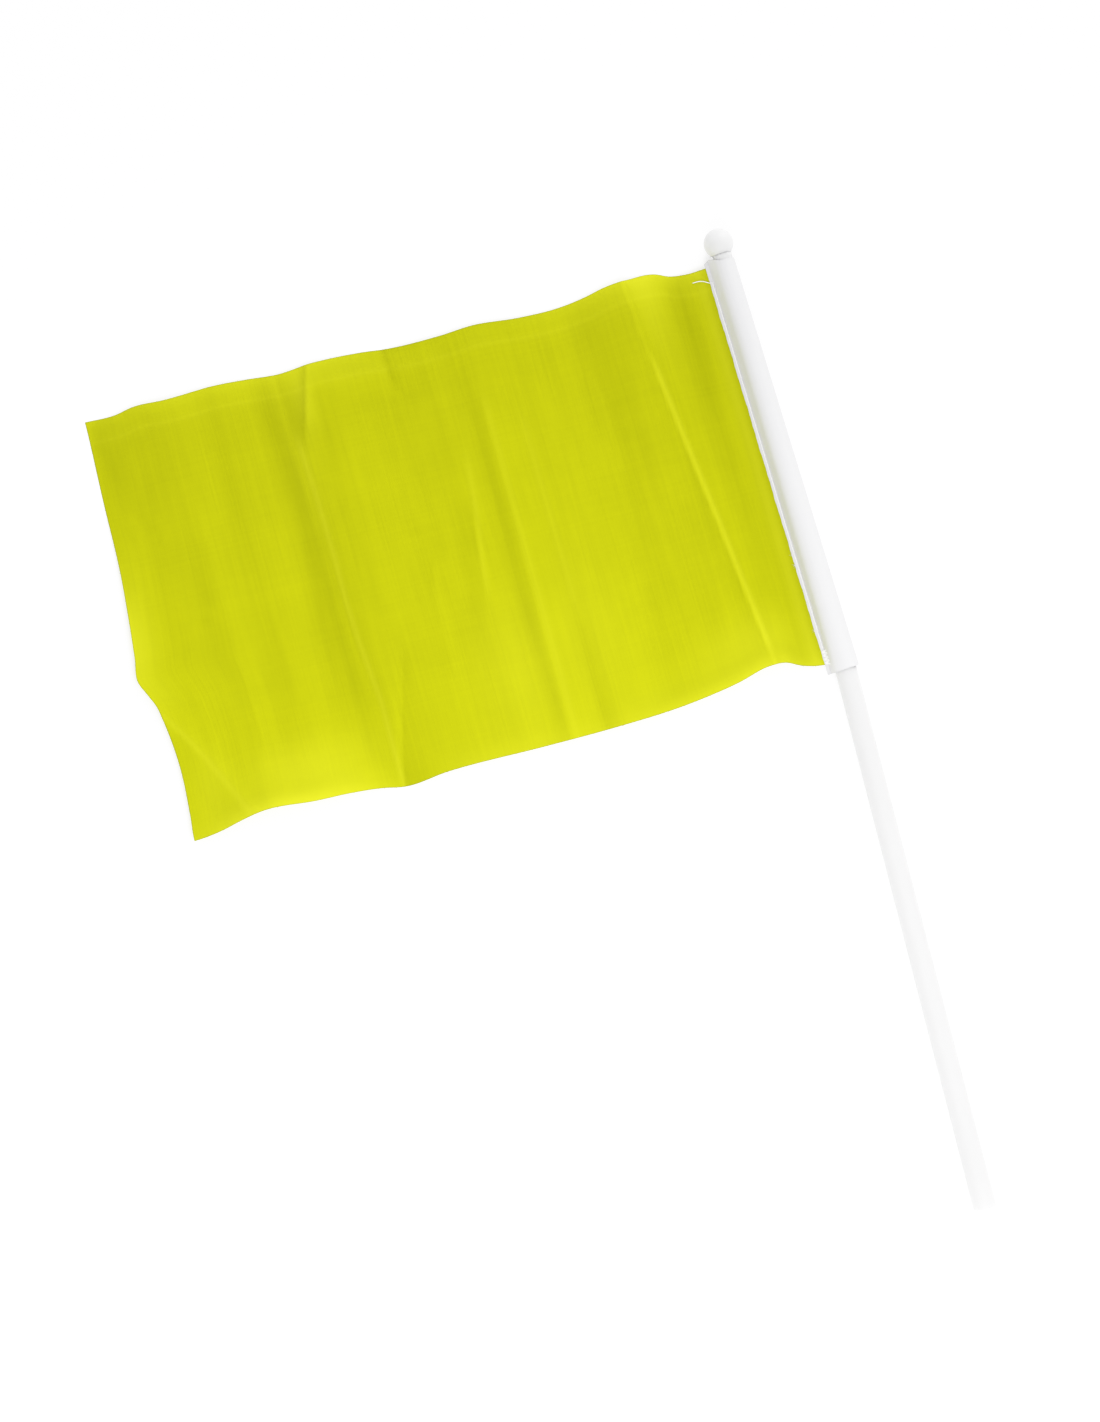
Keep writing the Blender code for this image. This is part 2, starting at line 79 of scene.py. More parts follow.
def place_at(origin, axis):
    """A place whose along direction is the axis and whose right direction is level."""
    along = np.array(axis, float)
    along /= np.linalg.norm(along)
    right = np.cross(along, (0.0, 0.0, 1.0))
    right /= np.linalg.norm(right)
    return Place(np.array(origin, float), right, np.cross(right, along), along)


def put(place, right, up, along):
    """Points beside a place's axis, in the model's frame."""
    right, up, along = np.broadcast_arrays(right, up, along)
    return (
        place.origin
        + right[..., None] * place.right
        + up[..., None] * place.up
        + along[..., None] * place.along
    )


def open_end(node):
    """Centre of a lying tube's lower end: half way across its box, and a radius up from its lowest edge."""
    low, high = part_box(node)
    radius = (high.x - low.x) / 2
    return (low.x + high.x) / 2, low.y, low.z + radius


def beside(node, place):
    """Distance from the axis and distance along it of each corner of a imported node."""
    corners = np.array([v.co for v in frame["nodes"][node].data.vertices]) - place.origin
    along = corners @ place.along
    return np.linalg.norm(corners - along[:, None] * place.along, axis=1), along


def widest(node, place, low, high):
    """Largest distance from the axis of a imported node's corners between two heights."""
    radius, along = beside(node, place)
    return float(radius[(along >= low) & (along <= high)].max())


LOWER = place_at(open_end("handle_tube"), JOINTS["pole_joint"]["axis"])
UPPER = place_at(JOINTS["flag_swivel"]["pos_m"], JOINTS["flag_swivel"]["axis"])
HANDLE_TIP = float(beside("handle_tube", LOWER)[1].max())
UPPER_LENGTH = float(beside("upper_tube", UPPER)[1].max())
BALL_TOP = float(beside("ball_finial", UPPER)[1].max())
BALL_RADIUS = widest("ball_finial", UPPER, UPPER_LENGTH, BALL_TOP)
FOOT_RADIUS = widest("upper_tube", UPPER, 0, UPPER_LENGTH / 2)
TOP_RADIUS = widest("upper_tube", UPPER, UPPER_LENGTH * 0.999, UPPER_LENGTH)
END_RADIUS = widest("handle_tube", LOWER, 0, HANDLE_TIP / 2)
SPIGOT_RADIUS = widest("handle_tube", LOWER, HANDLE_TIP - 0.004, HANDLE_TIP)


def shoulder_along():
    """Height at which the handle steps in to its spigot: its last corner that is wider than the spigot."""
    radius, along = beside("handle_tube", LOWER)
    return float(along[radius > SPIGOT_RADIUS * 1.1].max())


SHOULDER = shoulder_along()

# ---- sizes and colours that a user would change


def length_value(name, description, default):
    return FloatProperty(name=name, description=description, default=default, unit="LENGTH")


def angle_value(name, description, degrees):
    return FloatProperty(name=name, description=description, default=math.radians(degrees), subtype="ANGLE")


def plain_value(name, description, default):
    return FloatProperty(name=name, description=description, default=default)


def colour_value(name, description, default):
    return FloatVectorProperty(
        name=name, description=description, default=default, subtype="COLOR", size=3, min=0.0, max=1.0
    )


class FLAG_PG_pole(bpy.types.PropertyGroup):
    wall: length_value("Wall", "Wall of both tubes", 0.0010)
    lip_round: length_value("Rounding", "Rounding of the tubes' outer edges", 0.00012)
    seat_gap: length_value("Seat gap", "Gap between the ball and the tube it sits on", 0.00004)
    plug_length: length_value("Plug", "Length of the ball's plug inside the tube", 0.0120)
    gate_radius: length_value("Gate mark", "Radius of the moulding gate's mark on the ball", 0.0008)


class FLAG_PG_cloth(bpy.types.PropertyGroup):
    thickness: length_value("Thickness", "Thickness of both cloths", 0.00024)
    fly: length_value("Fly", "Width of the cloth as it lies", 0.3121)
    hoist: length_value("Hoist", "Cloth edge along the pole", 0.1984)
    flare: length_value("Flare", "How much longer the free edge is than the hoist", 0.0093)
    skew: length_value("Skew", "How far the free edge sits below the hoist", 0.0013)
    fold_softness: length_value("Fold softness", "Half the width over which a fold is rounded", 0.0042)
    relief: plain_value("Relief", "How much steeper the waves of the panel are shaded than they are", 2.5)
    yarn_pitch: length_value("Yarn pitch", "Distance between yarns of the panel", 0.00042)
    sleeve_pitch: length_value("Sleeve yarn pitch", "Distance between yarns of the sleeve", 0.00036)
    fray_length: length_value("Fray", "Longest ordinary fibre at a cut edge", 0.00045)


class FLAG_PG_seam(bpy.types.PropertyGroup):
    beside_tube: length_value("Seam beside tube", "From the tube's foot radius to the seam", 0.00185)
    lips_above_table: length_value("Lips above table", "Height of the sewn edge", 0.00175)
    lip_beyond: length_value("Lip beyond seam", "Width of the sleeve's raw lip", 0.0013)
    stitch_length: length_value("Stitch", "Length of one stitch", 0.0030)
    thread_radius: length_value("Thread radius", "Radius of the two-ply sewing thread", 0.00023)
    ply_pitch: length_value("Twist", "Length of one turn of the thread's twist", 0.0011)


class FLAG_PG_colours(bpy.types.PropertyGroup):
    panel: colour_value("Panel", "Yellow-green of the cloth", (0.418, 0.437, 0.0030))
    # Painted light: this brighter yellow-green is mixed into the panel where it is painted lighter, along
    # edges, creases and in patches.
    painted_light: colour_value("Pale panel", "Yellow-green of the cloth where it has paled", (0.56, 0.575, 0.014))
    sleeve: colour_value("Sleeve", "White of the sleeve's cloth", (0.675, 0.675, 0.684))
    handle: colour_value("Handle", "White of the lower section", (0.640, 0.640, 0.640))
    upper: colour_value("Upper pole", "White of the upper section", (0.640, 0.640, 0.640))
    ball: colour_value("Ball", "White of the ball", (0.660, 0.660, 0.660))
    thread: colour_value("Thread", "White of the sewing thread", (0.900, 0.900, 0.900))


class FLAG_PG_stage(bpy.types.PropertyGroup):
    camera_height: length_value("Camera height", "Height of the camera above the table", 1.15)
    camera_right: length_value("Camera right", "Camera from the handle's end, to the right", -0.14172)
    camera_along: length_value("Camera along", "Camera from the handle's end, along the handle", 0.28135)
    camera_turn: angle_value("Camera turn", "Turn of the picture about the view", -14.51)
    lens: plain_value("Lens", "Focal length on a 36 mm wide sensor, in mm", 60.65)
    key_elevation: angle_value("Key elevation", "Height of the main light", 24)
    key_azimuth: angle_value("Key azimuth", "Direction of the main light from +X", 52)
    key_spread: angle_value("Key spread", "Width of the main light, as seen", 38)
    key_strength: plain_value("Key strength", "Strength of the main light", 1.7)
    fill_power: plain_value("Fill power", "Power of the fill light", 1.9)
    room: plain_value("Room light", "Strength of the light from all round", 0.96)


# ---- curves


def smoothstep(x):
    """0 up to 0, 1 from 1 on, and an S-shaped cubic between."""
    x = np.clip(x, 0.0, 1.0)
    return x * x * (3.0 - 2.0 * x)


def curve_through(pairs, x):
    """A smooth curve through the pairs: cubic pieces whose slope at a pair is that of its neighbours."""
    at, value = np.array(pairs).T
    slope = np.gradient(value, at)
    slope[[0, -1]] = 0.0
    x = np.clip(x, at[0], at[-1])
    piece = np.clip(np.searchsorted(at, x, side="right") - 1, 0, len(at) - 2)
    width = at[piece + 1] - at[piece]
    t = (x - at[piece]) / width
    return (
        (2 * t**3 - 3 * t**2 + 1) * value[piece]
        + (t**3 - 2 * t**2 + t) * width * slope[piece]
        + (3 * t**2 - 2 * t**3) * value[piece + 1]
        + (t**3 - t**2) * width * slope[piece + 1]
    )


def rounded(corners, radius, steps=5):
    """A closed outline with its corners rounded: each corner becomes a quadratic curve that starts and
    ends a radius away from it, or nearly half an edge away where the edge is short."""
    corners = np.array(corners, float)
    before, after = np.roll(corners, 1, axis=0) - corners, np.roll(corners, -1, axis=0) - corners
    ends = []
    for edge in (before, after):
        length = np.linalg.norm(edge, axis=1, keepdims=True)
        ends.append(corners + edge * np.minimum(radius / length, 0.45))
    t = np.linspace(0, 1, steps)[None, :, None]
    start, corner, end = ends[0][:, None], corners[:, None], ends[1][:, None]
    return ((1 - t) ** 2 * start + 2 * t * (1 - t) * corner + t**2 * end).reshape(-1, 2)


# ---- meshes


def grid_quads(rows, columns, round_rows=False, round_columns=False):
    """Corner numbers of a grid's quads, and the same corners as steps along rows and columns for a UV map."""
    i, j = np.meshgrid(
        np.arange(rows if round_rows else rows - 1),
        np.arange(columns if round_columns else columns - 1),
        indexing="ij",
    )
    i, j = i.ravel(), j.ravel()
    steps = np.stack([np.stack([i, i + 1, i + 1, i], 1), np.stack([j, j, j + 1, j + 1], 1)], axis=-1)
    return (steps[..., 0] % rows) * columns + steps[..., 1] % columns, steps


def piece(name, points, faces, finish, body, nodes, slot, uv=None, sharp=40, normals=None):
    """A finished piece: its mesh, finish, faces turned outwards, the body it rides on and what it replaces.

    uv holds one pair for each corner of each face, in the order of the faces. normals, where given, hold
    one shading normal for each point.
    """
    mesh = bpy.data.meshes.new(name)
    mesh.from_pydata(points.reshape(-1, 3).tolist(), [], [list(face) for face in faces])
    if uv is not None:
        mesh.uv_layers.new(name="cloth").data.foreach_set("uv", np.asarray(uv, np.float32).ravel())
    shape = bmesh.new()
    shape.from_mesh(mesh)
    bmesh.ops.recalc_face_normals(shape, faces=shape.faces)
    shape.to_mesh(mesh)
    shape.free()
    mesh.shade_smooth()
    mesh.set_sharp_from_angle(angle=math.radians(sharp))
    if normals is not None:
        mesh.normals_split_custom_set_from_vertices(normals.reshape(-1, 3).tolist())
    mesh.materials.append(finish)
    made = bpy.data.objects.new(name, mesh)
    bpy.context.scene.collection.objects.link(made)
    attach(made, body)
    if nodes:
        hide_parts(*nodes)
    return made


def two_layers(middle, normal, thickness, uv):
    """A thin closed body round a middle grid: points, faces and UV. Each layer stands half the thickness
    away along the normal, and a band of quads joins their rims."""
    rows, columns = middle.shape[:2]
    half = normal * thickness / 2
    points = np.concatenate([(middle + half).reshape(-1, 3), (middle - half).reshape(-1, 3)])
    quads, _ = grid_quads(rows, columns)
    under = rows * columns
    number = np.arange(under).reshape(rows, columns)
    rim = np.concatenate([number[0, :-1], number[:-1, -1], number[-1, :0:-1], number[:0:-1, 0]])
    after = np.roll(rim, -1)
    walls = np.stack([rim, after, after + under, rim + under], axis=-1)
    faces = np.concatenate([quads, quads[:, ::-1] + under, walls])
    flat_uv = np.concatenate([uv.reshape(-1, 2), uv.reshape(-1, 2)])
    return points, faces, flat_uv[faces]


def grid_normals(points):
    """Unit normals of a grid of points, from the differences along its rows and columns."""
    normal = np.cross(np.gradient(points, axis=0), np.gradient(points, axis=1))
    return normal / np.linalg.norm(normal, axis=-1, keepdims=True)


def turned(name, outline, place, finish, body, node, slot, steps=96, poles=False):
    """A surface of revolution: each outline point (radius, height) goes round the place's axis. The outline
    is a closed loop, or with poles it starts and ends on the axis, where a fan closes it."""
    outline = np.asarray(outline, float)
    ring = outline[1:-1] if poles else outline
    angle = np.linspace(0, math.tau, steps, endpoint=False) - math.pi / 2
    radius, height = ring[:, :1], ring[:, 1:]
    points = put(place, radius * np.cos(angle), radius * np.sin(angle), height + 0 * angle).reshape(-1, 3)
    quads, corner_steps = grid_quads(len(ring), steps, round_rows=not poles, round_columns=True)
    around = corner_steps[..., 1] * math.tau * ring[:, 0].max() / steps
    travel = np.concatenate([[0], np.cumsum(np.linalg.norm(np.diff(ring, axis=0), axis=1))])
    travel = np.append(travel, travel[-1] + np.linalg.norm(ring[0] - ring[-1]))
    uv = np.stack([around, travel[corner_steps[..., 0]]], axis=-1)
    faces, uv = quads.tolist(), uv.reshape(-1, 2)
    if poles:
        points = np.concatenate([points, put(place, np.zeros(2), np.zeros(2), outline[[0, -1], 1])])
        first, last = len(points) - 2, len(points) - 1
        j = np.arange(steps)
        after = (j + 1) % steps
        base = (len(ring) - 1) * steps
        for corners in ((np.full(steps, first), j, after), (np.full(steps, last), base + after, base + j)):
            faces += np.stack(corners, axis=1).tolist()
        across = np.stack([j + 0.5, j, j + 1], axis=1) * math.tau * ring[:, 0].max() / steps
        for end in (0.0, travel[-2]):
            fan_uv = np.stack([across, np.full((steps, 3), end)], axis=-1)
            uv = np.concatenate([uv, fan_uv.reshape(-1, 2)])
    return piece(name, points, faces, finish, body, [node], slot, uv)


def cross_frames(route):
    """Two unit directions across a route at each of its points. The second is level."""
    forward = np.gradient(route, axis=0)
    forward /= np.linalg.norm(forward, axis=1, keepdims=True)
    level = np.cross(forward, (0.0, 0.0, 1.0))
    level /= np.maximum(np.linalg.norm(level, axis=1, keepdims=True), 1e-9)
    return np.cross(level, forward), level


def tubes(routes, radii, sides):
    """Closed round tubes along routes, given as an array (tube, point, 3) with a radius for each point.
    Each ring is a circle across its route. Both ends are closed by one face."""
    count, rings = routes.shape[:2]
    angle = np.linspace(0, math.tau, sides, endpoint=False)
    points = np.empty((count, rings, sides, 3))
    for k, route in enumerate(routes):
        upward, level = cross_frames(route)
        circle = upward[:, None] * np.cos(angle)[:, None] + level[:, None] * np.sin(angle)[:, None]
        points[k] = route[:, None] + circle * radii[k][:, None, None]
    quads, steps = grid_quads(rings, sides, round_columns=True)
    first = np.arange(count)[:, None, None] * rings * sides
    faces = (quads + first).reshape(-1, 4).tolist()
    uv = np.tile(np.stack([steps[..., 1] / sides, steps[..., 0] / rings], -1).reshape(-1, 2), (count, 1))
    for k in range(count):
        for ring in (k * rings, (k + 1) * rings - 1):
            faces.append([ring * sides + corner for corner in range(sides)])
    uv = np.concatenate([uv, np.zeros((2 * count * sides, 2))])
    return points.reshape(-1, 3), faces, uv


def resampled(route, spacing):
    """The same route with points at even spacing, joined by straight runs."""
    travel = np.concatenate([[0], np.cumsum(np.linalg.norm(np.diff(route, axis=0), axis=1))])
    at = np.linspace(0, travel[-1], max(8, int(travel[-1] / spacing)))
    return np.stack([np.interp(at, travel, route[:, c]) for c in range(3)], axis=1)


PLY_RADIUS = 0.56
PLY_TIP = 0.4


def plied_thread(name, route, seam, finish, node):
    """A two-ply thread: each ply is a tube whose centre winds round the route as a helix of the twist's
    pitch, half a turn from the other ply, at half the thread's radius. Its own radius is a share of the
    thread's, and its tips are a share of that."""
    route = resampled(route, seam.ply_pitch / 7)
    upward, level = cross_frames(route)
    travel = np.linspace(0, 1, len(route)) * np.linalg.norm(np.diff(route, axis=0), axis=1).sum()
    plies = []
    for phase in (0, math.pi):
        turn = travel * math.tau / seam.ply_pitch + phase
        aside = upward * np.cos(turn)[:, None] + level * np.sin(turn)[:, None]
        plies.append(route + aside * seam.thread_radius / 2)
    radii = np.full((2, len(route)), seam.thread_radius * PLY_RADIUS)
    radii[:, [0, -1]] *= PLY_TIP
    points, faces, uv = tubes(np.array(plies), radii, 7)
    return piece(name, points, faces, finish, "flag", [node], "sewing_thread", uv, sharp=60)


# ---- finishes


def math_node(tree, operation, first, second=None, third=None, clamp=False):
    """A Math node's result. Each input is a socket or a number."""
    node = tree.nodes.new("ShaderNodeMath")
    node.operation, node.use_clamp = operation, clamp
    for socket, value in zip(node.inputs, (first, second, third)):
        if isinstance(value, bpy.types.NodeSocket):
            tree.links.new(value, socket)
        elif value is not None:
            socket.default_value = value
    return node.outputs[0]


def added(tree, *parts):
    """The sum of sockets and numbers."""
    total = parts[0]
    for part in parts[1:]:
        total = math_node(tree, "ADD", total, part)
    return total


def times(tree, first, second, clamp=False):
    return math_node(tree, "MULTIPLY", first, second, clamp=clamp)


def less(tree, first, second, clamp=False):
    return math_node(tree, "SUBTRACT", first, second, clamp=clamp)


def new_group(name, inputs, outputs):
    """An empty node group with named float sockets. An input's default None makes it a vector."""
    tree = bpy.data.node_groups.new(name, "ShaderNodeTree")
    for title, default in inputs:
        kind = "NodeSocketVector" if default is None else "NodeSocketFloat"
        made = tree.interface.new_socket(title, in_out="INPUT", socket_type=kind)
        if default is not None:
            made.default_value = default
    for title in outputs:
        tree.interface.new_socket(title, in_out="OUTPUT", socket_type="NodeSocketFloat")
    return tree, tree.nodes.new("NodeGroupInput").outputs, tree.nodes.new("NodeGroupOutput").inputs


WEFT_HEIGHT = 0.8
EDGE_WIDTH = 0.00045
EDGE_STRENGTH = 0.55
# Colour of the cut edges: partly their melted heat cut, partly painted shade.
MELTED_AND_SHADED_EDGE_COLOUR = (0.10, 0.10, 0.035)


def weave_group():
    """Interlaced yarns on a flat map in metres. Each yarn's height is half a sine wave across it. The warp
    lies on top where the sum of the two yarn numbers, over the threads of the repeat, leaves a rest below
    the repeat less one, which gives a plain weave for two threads and a twill for three or more."""
    tree, given, result = new_group(
        "woven yarns", [("Map", None), ("Yarn pitch", 0.0004), ("Threads in repeat", 3.0)], ["Height", "Gaps"]
    )
    apart = tree.nodes.new("ShaderNodeSeparateXYZ")
    tree.links.new(given["Map"], apart.inputs[0])
    across = [math_node(tree, "DIVIDE", apart.outputs[k], given["Yarn pitch"]) for k in (0, 1)]
    number = [math_node(tree, "FLOOR", x) for x in across]
    hump = [math_node(tree, "SINE", times(tree, math_node(tree, "FRACT", x), math.pi)) for x in across]
    rest = math_node(tree, "FLOORED_MODULO", added(tree, *number), given["Threads in repeat"])
    on_top = math_node(tree, "LESS_THAN", rest, less(tree, given["Threads in repeat"], 1.5))
    warp = times(tree, hump[0], on_top)
    weft = times(tree, times(tree, hump[1], WEFT_HEIGHT), less(tree, 1.0, on_top))
    height = added(tree, warp, weft)
    tree.links.new(height, result["Height"])
    tree.links.new(less(tree, 1.0, height, clamp=True), result["Gaps"])
    return tree


def noise(tree, vector, scale, detail=3.0, roughness=0.55):
    """A Noise node's value on a vector that is first multiplied by a scale for each direction."""
    stretch = tree.nodes.new("ShaderNodeVectorMath")
    stretch.operation = "MULTIPLY"
    tree.links.new(vector, stretch.inputs[0])
    stretch.inputs[1].default_value = scale
    node = tree.nodes.new("ShaderNodeTexNoise")
    node.inputs["Scale"].default_value = 1.0
    node.inputs["Detail"].default_value = detail
    node.inputs["Roughness"].default_value = roughness
    tree.links.new(stretch.outputs[0], node.inputs["Vector"])
    return node.outputs[0]


def streaks_group():
    """Uneven yarns: long thin noise along each of the two yarn directions, and soft clouds, about zero."""
    tree, given, result = new_group("uneven yarns", [("Map", None), ("Strength", 1.0)], ["Shade", "Height"])
    along_hoist = noise(tree, given["Map"], (900.0, 14.0, 1.0))
    along_fly = noise(tree, given["Map"], (10.0, 700.0, 1.0))
    broad = noise(tree, given["Map"], (210.0, 9.0, 1.0), detail=2.0)
    clouds = noise(tree, given["Map"], (60.0, 45.0, 1.0), detail=4.0)
    parts = [
        times(tree, less(tree, value, 0.5), weight)
        for value, weight in ((along_hoist, 0.45), (along_fly, 0.22), (broad, 0.30), (clouds, 0.35))
    ]
    tree.links.new(times(tree, added(tree, *parts), given["Strength"]), result["Shade"])
    tree.links.new(added(tree, parts[0], parts[2]), result["Height"])
    return tree


def cut_edge_group():
    """1 at the cloth's cut edges and 0 further in than the width, on a map that runs from 0 to each size."""
    tree, given, result = new_group(
        "cut edge", [("Map", None), ("Width", 0.0004), ("Size across", 0.3), ("Size up", 0.2)], ["Edge"]
    )
    apart = tree.nodes.new("ShaderNodeSeparateXYZ")
    tree.links.new(given["Map"], apart.inputs[0])
    to_free = less(tree, given["Size across"], apart.outputs[0])
    to_top = less(tree, given["Size up"], apart.outputs[1])
    nearest = math_node(tree, "MINIMUM", math_node(tree, "MINIMUM", to_free, to_top), apart.outputs[1])
    share = math_node(tree, "DIVIDE", nearest, given["Width"], clamp=True)
    tree.links.new(less(tree, 1.0, share), result["Edge"])
    return tree


def moulded_group():
    """Skin of moulded plastic on a flat map in metres: fine grain, marks drawn along the piece, soft sinks
    and a few specks of dust."""
    tree, given, result = new_group("moulded skin", [("Map", None)], ["Height", "Wear", "Dust"])
    grain = noise(tree, given["Map"], (2600.0, 2600.0, 1.0), detail=2.0)
    drawn = noise(tree, given["Map"], (1500.0, 30.0, 1.0))
    sinks = noise(tree, given["Map"], (90.0, 40.0, 1.0), detail=2.0)
    tree.links.new(added(tree, times(tree, grain, 0.25), times(tree, drawn, 0.35), sinks), result["Height"])
    tree.links.new(added(tree, times(tree, drawn, 0.6), times(tree, sinks, 0.4)), result["Wear"])
    specks = noise(tree, given["Map"], (1400.0, 1400.0, 1.0), detail=1.0)
    tree.links.new(times(tree, less(tree, specks, 0.70), 6.0, clamp=True), result["Dust"])
    return tree


def place_group(tree, group, vector, **values):
    """A node group in a material, fed with the map, with its values set. Returns its outputs."""
    node = tree.nodes.new("ShaderNodeGroup")
    node.node_tree = group
    tree.links.new(vector, node.inputs["Map"])
    for title, value in values.items():
        node.inputs[title.replace("_", " ")].default_value = value
    return node.outputs


def new_finish(name):
    """A material with its Principled node, and the piece's own map in metres."""
    made = bpy.data.materials.new(name)
    made.use_nodes = True
    tree = made.node_tree
    own_map = tree.nodes.new("ShaderNodeUVMap")
    own_map.uv_map = "cloth"
    return made, tree, tree.nodes["Principled BSDF"], own_map.outputs[0]


def mixed_colour(tree, share, first, second, blend="MIX"):
    """A mix of two colours. Each is a socket or three numbers, and the share is a socket or a number."""
    node = tree.nodes.new("ShaderNodeMix")
    node.data_type, node.blend_type = "RGBA", blend
    for socket, value in ((node.inputs[0], share), (node.inputs[6], first), (node.inputs[7], second)):
        if isinstance(value, bpy.types.NodeSocket):
            tree.links.new(value, socket)
        elif isinstance(value, float):
            socket.default_value = value
        else:
            socket.default_value = (*value, 1.0)
    return node.outputs[2]


def bump(tree, height, distance, strength=1.0, over=None):
    """A Bump node on a height, over another normal where there is one."""
    node = tree.nodes.new("ShaderNodeBump")
    node.inputs["Distance"].default_value = distance
    node.inputs["Strength"].default_value = strength
    tree.links.new(height, node.inputs["Height"])
    if over is not None:
        tree.links.new(over, node.inputs["Normal"])
    return node.outputs[0]


def shaded(colour, by):
    """A colour made darker or lighter by a factor, kept within 0 and 1."""
    return tuple(min(1.0, max(0.0, channel * by)) for channel in colour)


def set_numbers(shader, **values):
    """Sets uniform values on a shader node, by the names of its inputs."""
    for title, value in values.items():
        shader.inputs[title.replace("_", " ")].default_value = value


def cloth_finish(name, colour, pitch, repeat, relief, unevenness, edges=None):
    """Woven cloth: yarn relief with painted shade in the gaps between yarns, uneven yarns in tone and
    relief, and, where edges are given, painted light from the point attribute and cut edges darkened
    partly by their melted heat cut and partly by painted shade. The edges hold the cloth's size, the
    painted light colour and the edge colour."""
    made, tree, shader, own_map = new_finish(name)
    yarns = place_group(tree, WEAVE, own_map, Yarn_pitch=pitch, Threads_in_repeat=repeat)
    uneven = place_group(tree, STREAKS, own_map, Strength=unevenness)
    # Painted shade: the gaps between yarns are darker and the yarn tops slightly lighter.
    base = mixed_colour(tree, yarns["Gaps"], shaded(colour, 1.03), shaded(colour, 0.86))
    share = math_node(tree, "ADD", uneven["Shade"], 0.5, clamp=True)
    tone = mixed_colour(tree, share, (0.72, 0.72, 0.72), (1.28, 1.28, 1.28))
    base = mixed_colour(tree, 1.0, base, tone, "MULTIPLY")
    if edges is not None:
        size, painted_light_colour, melted_and_shaded_edge_colour = edges
        # Painted light: the point attribute mixes the brighter yellow-green into the cloth along edges,
        # creases and in patches.
        painted_light = tree.nodes.new("ShaderNodeAttribute")
        painted_light.attribute_name = "paleness"
        base = mixed_colour(tree, painted_light.outputs["Fac"], base, painted_light_colour)
        edge = place_group(tree, CUT_EDGE, own_map, Width=EDGE_WIDTH, Size_across=size[0], Size_up=size[1])
        # Cut edges darkened, partly as their melted heat cut and partly as painted shade.
        base = mixed_colour(tree, times(tree, edge["Edge"], EDGE_STRENGTH), base, melted_and_shaded_edge_colour)
    tree.links.new(base, shader.inputs["Base Color"])
    lines = bump(tree, yarns["Height"], 0.00006, relief)
    tree.links.new(bump(tree, uneven["Height"], 0.00022, 0.8, over=lines), shader.inputs["Normal"])
    tree.links.new(math_node(tree, "MULTIPLY_ADD", yarns["Gaps"], 0.25, 0.50), shader.inputs["Roughness"])
    set_numbers(shader, Specular_IOR_Level=0.03)
    return made


def plastic_finish(name, colour, roughness, relief):
    """Moulded plastic: fine relief, uneven roughness from handling, and faint dust."""
    made, tree, shader, own_map = new_finish(name)
    skin = place_group(tree, MOULDED, own_map)
    dusty = mixed_colour(tree, times(tree, skin["Dust"], 0.25), colour, shaded(colour, 0.80))
    worn = mixed_colour(tree, times(tree, skin["Wear"], 0.10), dusty, shaded(colour, 0.93))
    tree.links.new(worn, shader.inputs["Base Color"])
    tree.links.new(math_node(tree, "MULTIPLY_ADD", skin["Wear"], 0.22, roughness), shader.inputs["Roughness"])
    tree.links.new(bump(tree, skin["Height"], 0.00005, relief), shader.inputs["Normal"])
    set_numbers(
        shader,
        Specular_IOR_Level=0.35,
        Subsurface_Weight=0.7,
        Subsurface_Radius=(1.0, 1.0, 1.0),
        Subsurface_Scale=0.004,
    )
    return made


def thread_finish(name, colour):
    """Spun thread: fibres that run slantwise round each ply, with fluff between them."""
    made, tree, shader, own_map = new_finish(name)
    fibres = noise(tree, own_map, (9.0, 260.0, 1.0), detail=4.0)
    twisted = mixed_colour(tree, fibres, shaded(colour, 0.85), shaded(colour, 1.12))
    tree.links.new(twisted, shader.inputs["Base Color"])
    tree.links.new(bump(tree, fibres, 0.00004, 0.7), shader.inputs["Normal"])
    tree.links.new(math_node(tree, "MULTIPLY_ADD", fibres, 0.2, 0.6), shader.inputs["Roughness"])
    set_numbers(shader, Specular_IOR_Level=0.25)
    return made


WEAVE = weave_group()
STREAKS = streaks_group()
CUT_EDGE = cut_edge_group()
MOULDED = moulded_group()


# ---- the pole


class FLAG_OT_handle(bpy.types.Operator):
    """Lower section: a tapered tube with an open end, and a spigot that goes into the upper section"""

    bl_idname = "flag.handle"
    bl_label = "Handle"

    def execute(self, context):
        pole, colours = context.scene.flag_pole, context.scene.flag_colours
        top_radius = widest("handle_tube", LOWER, SHOULDER - 2 * pole.wall, SHOULDER)
        bore = SPIGOT_RADIUS - pole.wall
        outline = rounded(
            [
                (END_RADIUS - pole.wall, 0),
                (END_RADIUS, 0),
                (top_radius + pole.lip_round, SHOULDER),
                (SPIGOT_RADIUS, SHOULDER),
                (SPIGOT_RADIUS, HANDLE_TIP),
                (bore, HANDLE_TIP),
                (bore, SHOULDER - pole.wall),
                (top_radius - pole.wall, SHOULDER - 3 * pole.wall),
            ],
            pole.lip_round,
        )
        finish = plastic_finish("handle plastic", colours.handle, 0.36, 0.5)
        turned("handle_section", outline, LOWER, finish, "handle", "handle_tube", "handle_plastic")
        return {"FINISHED"}


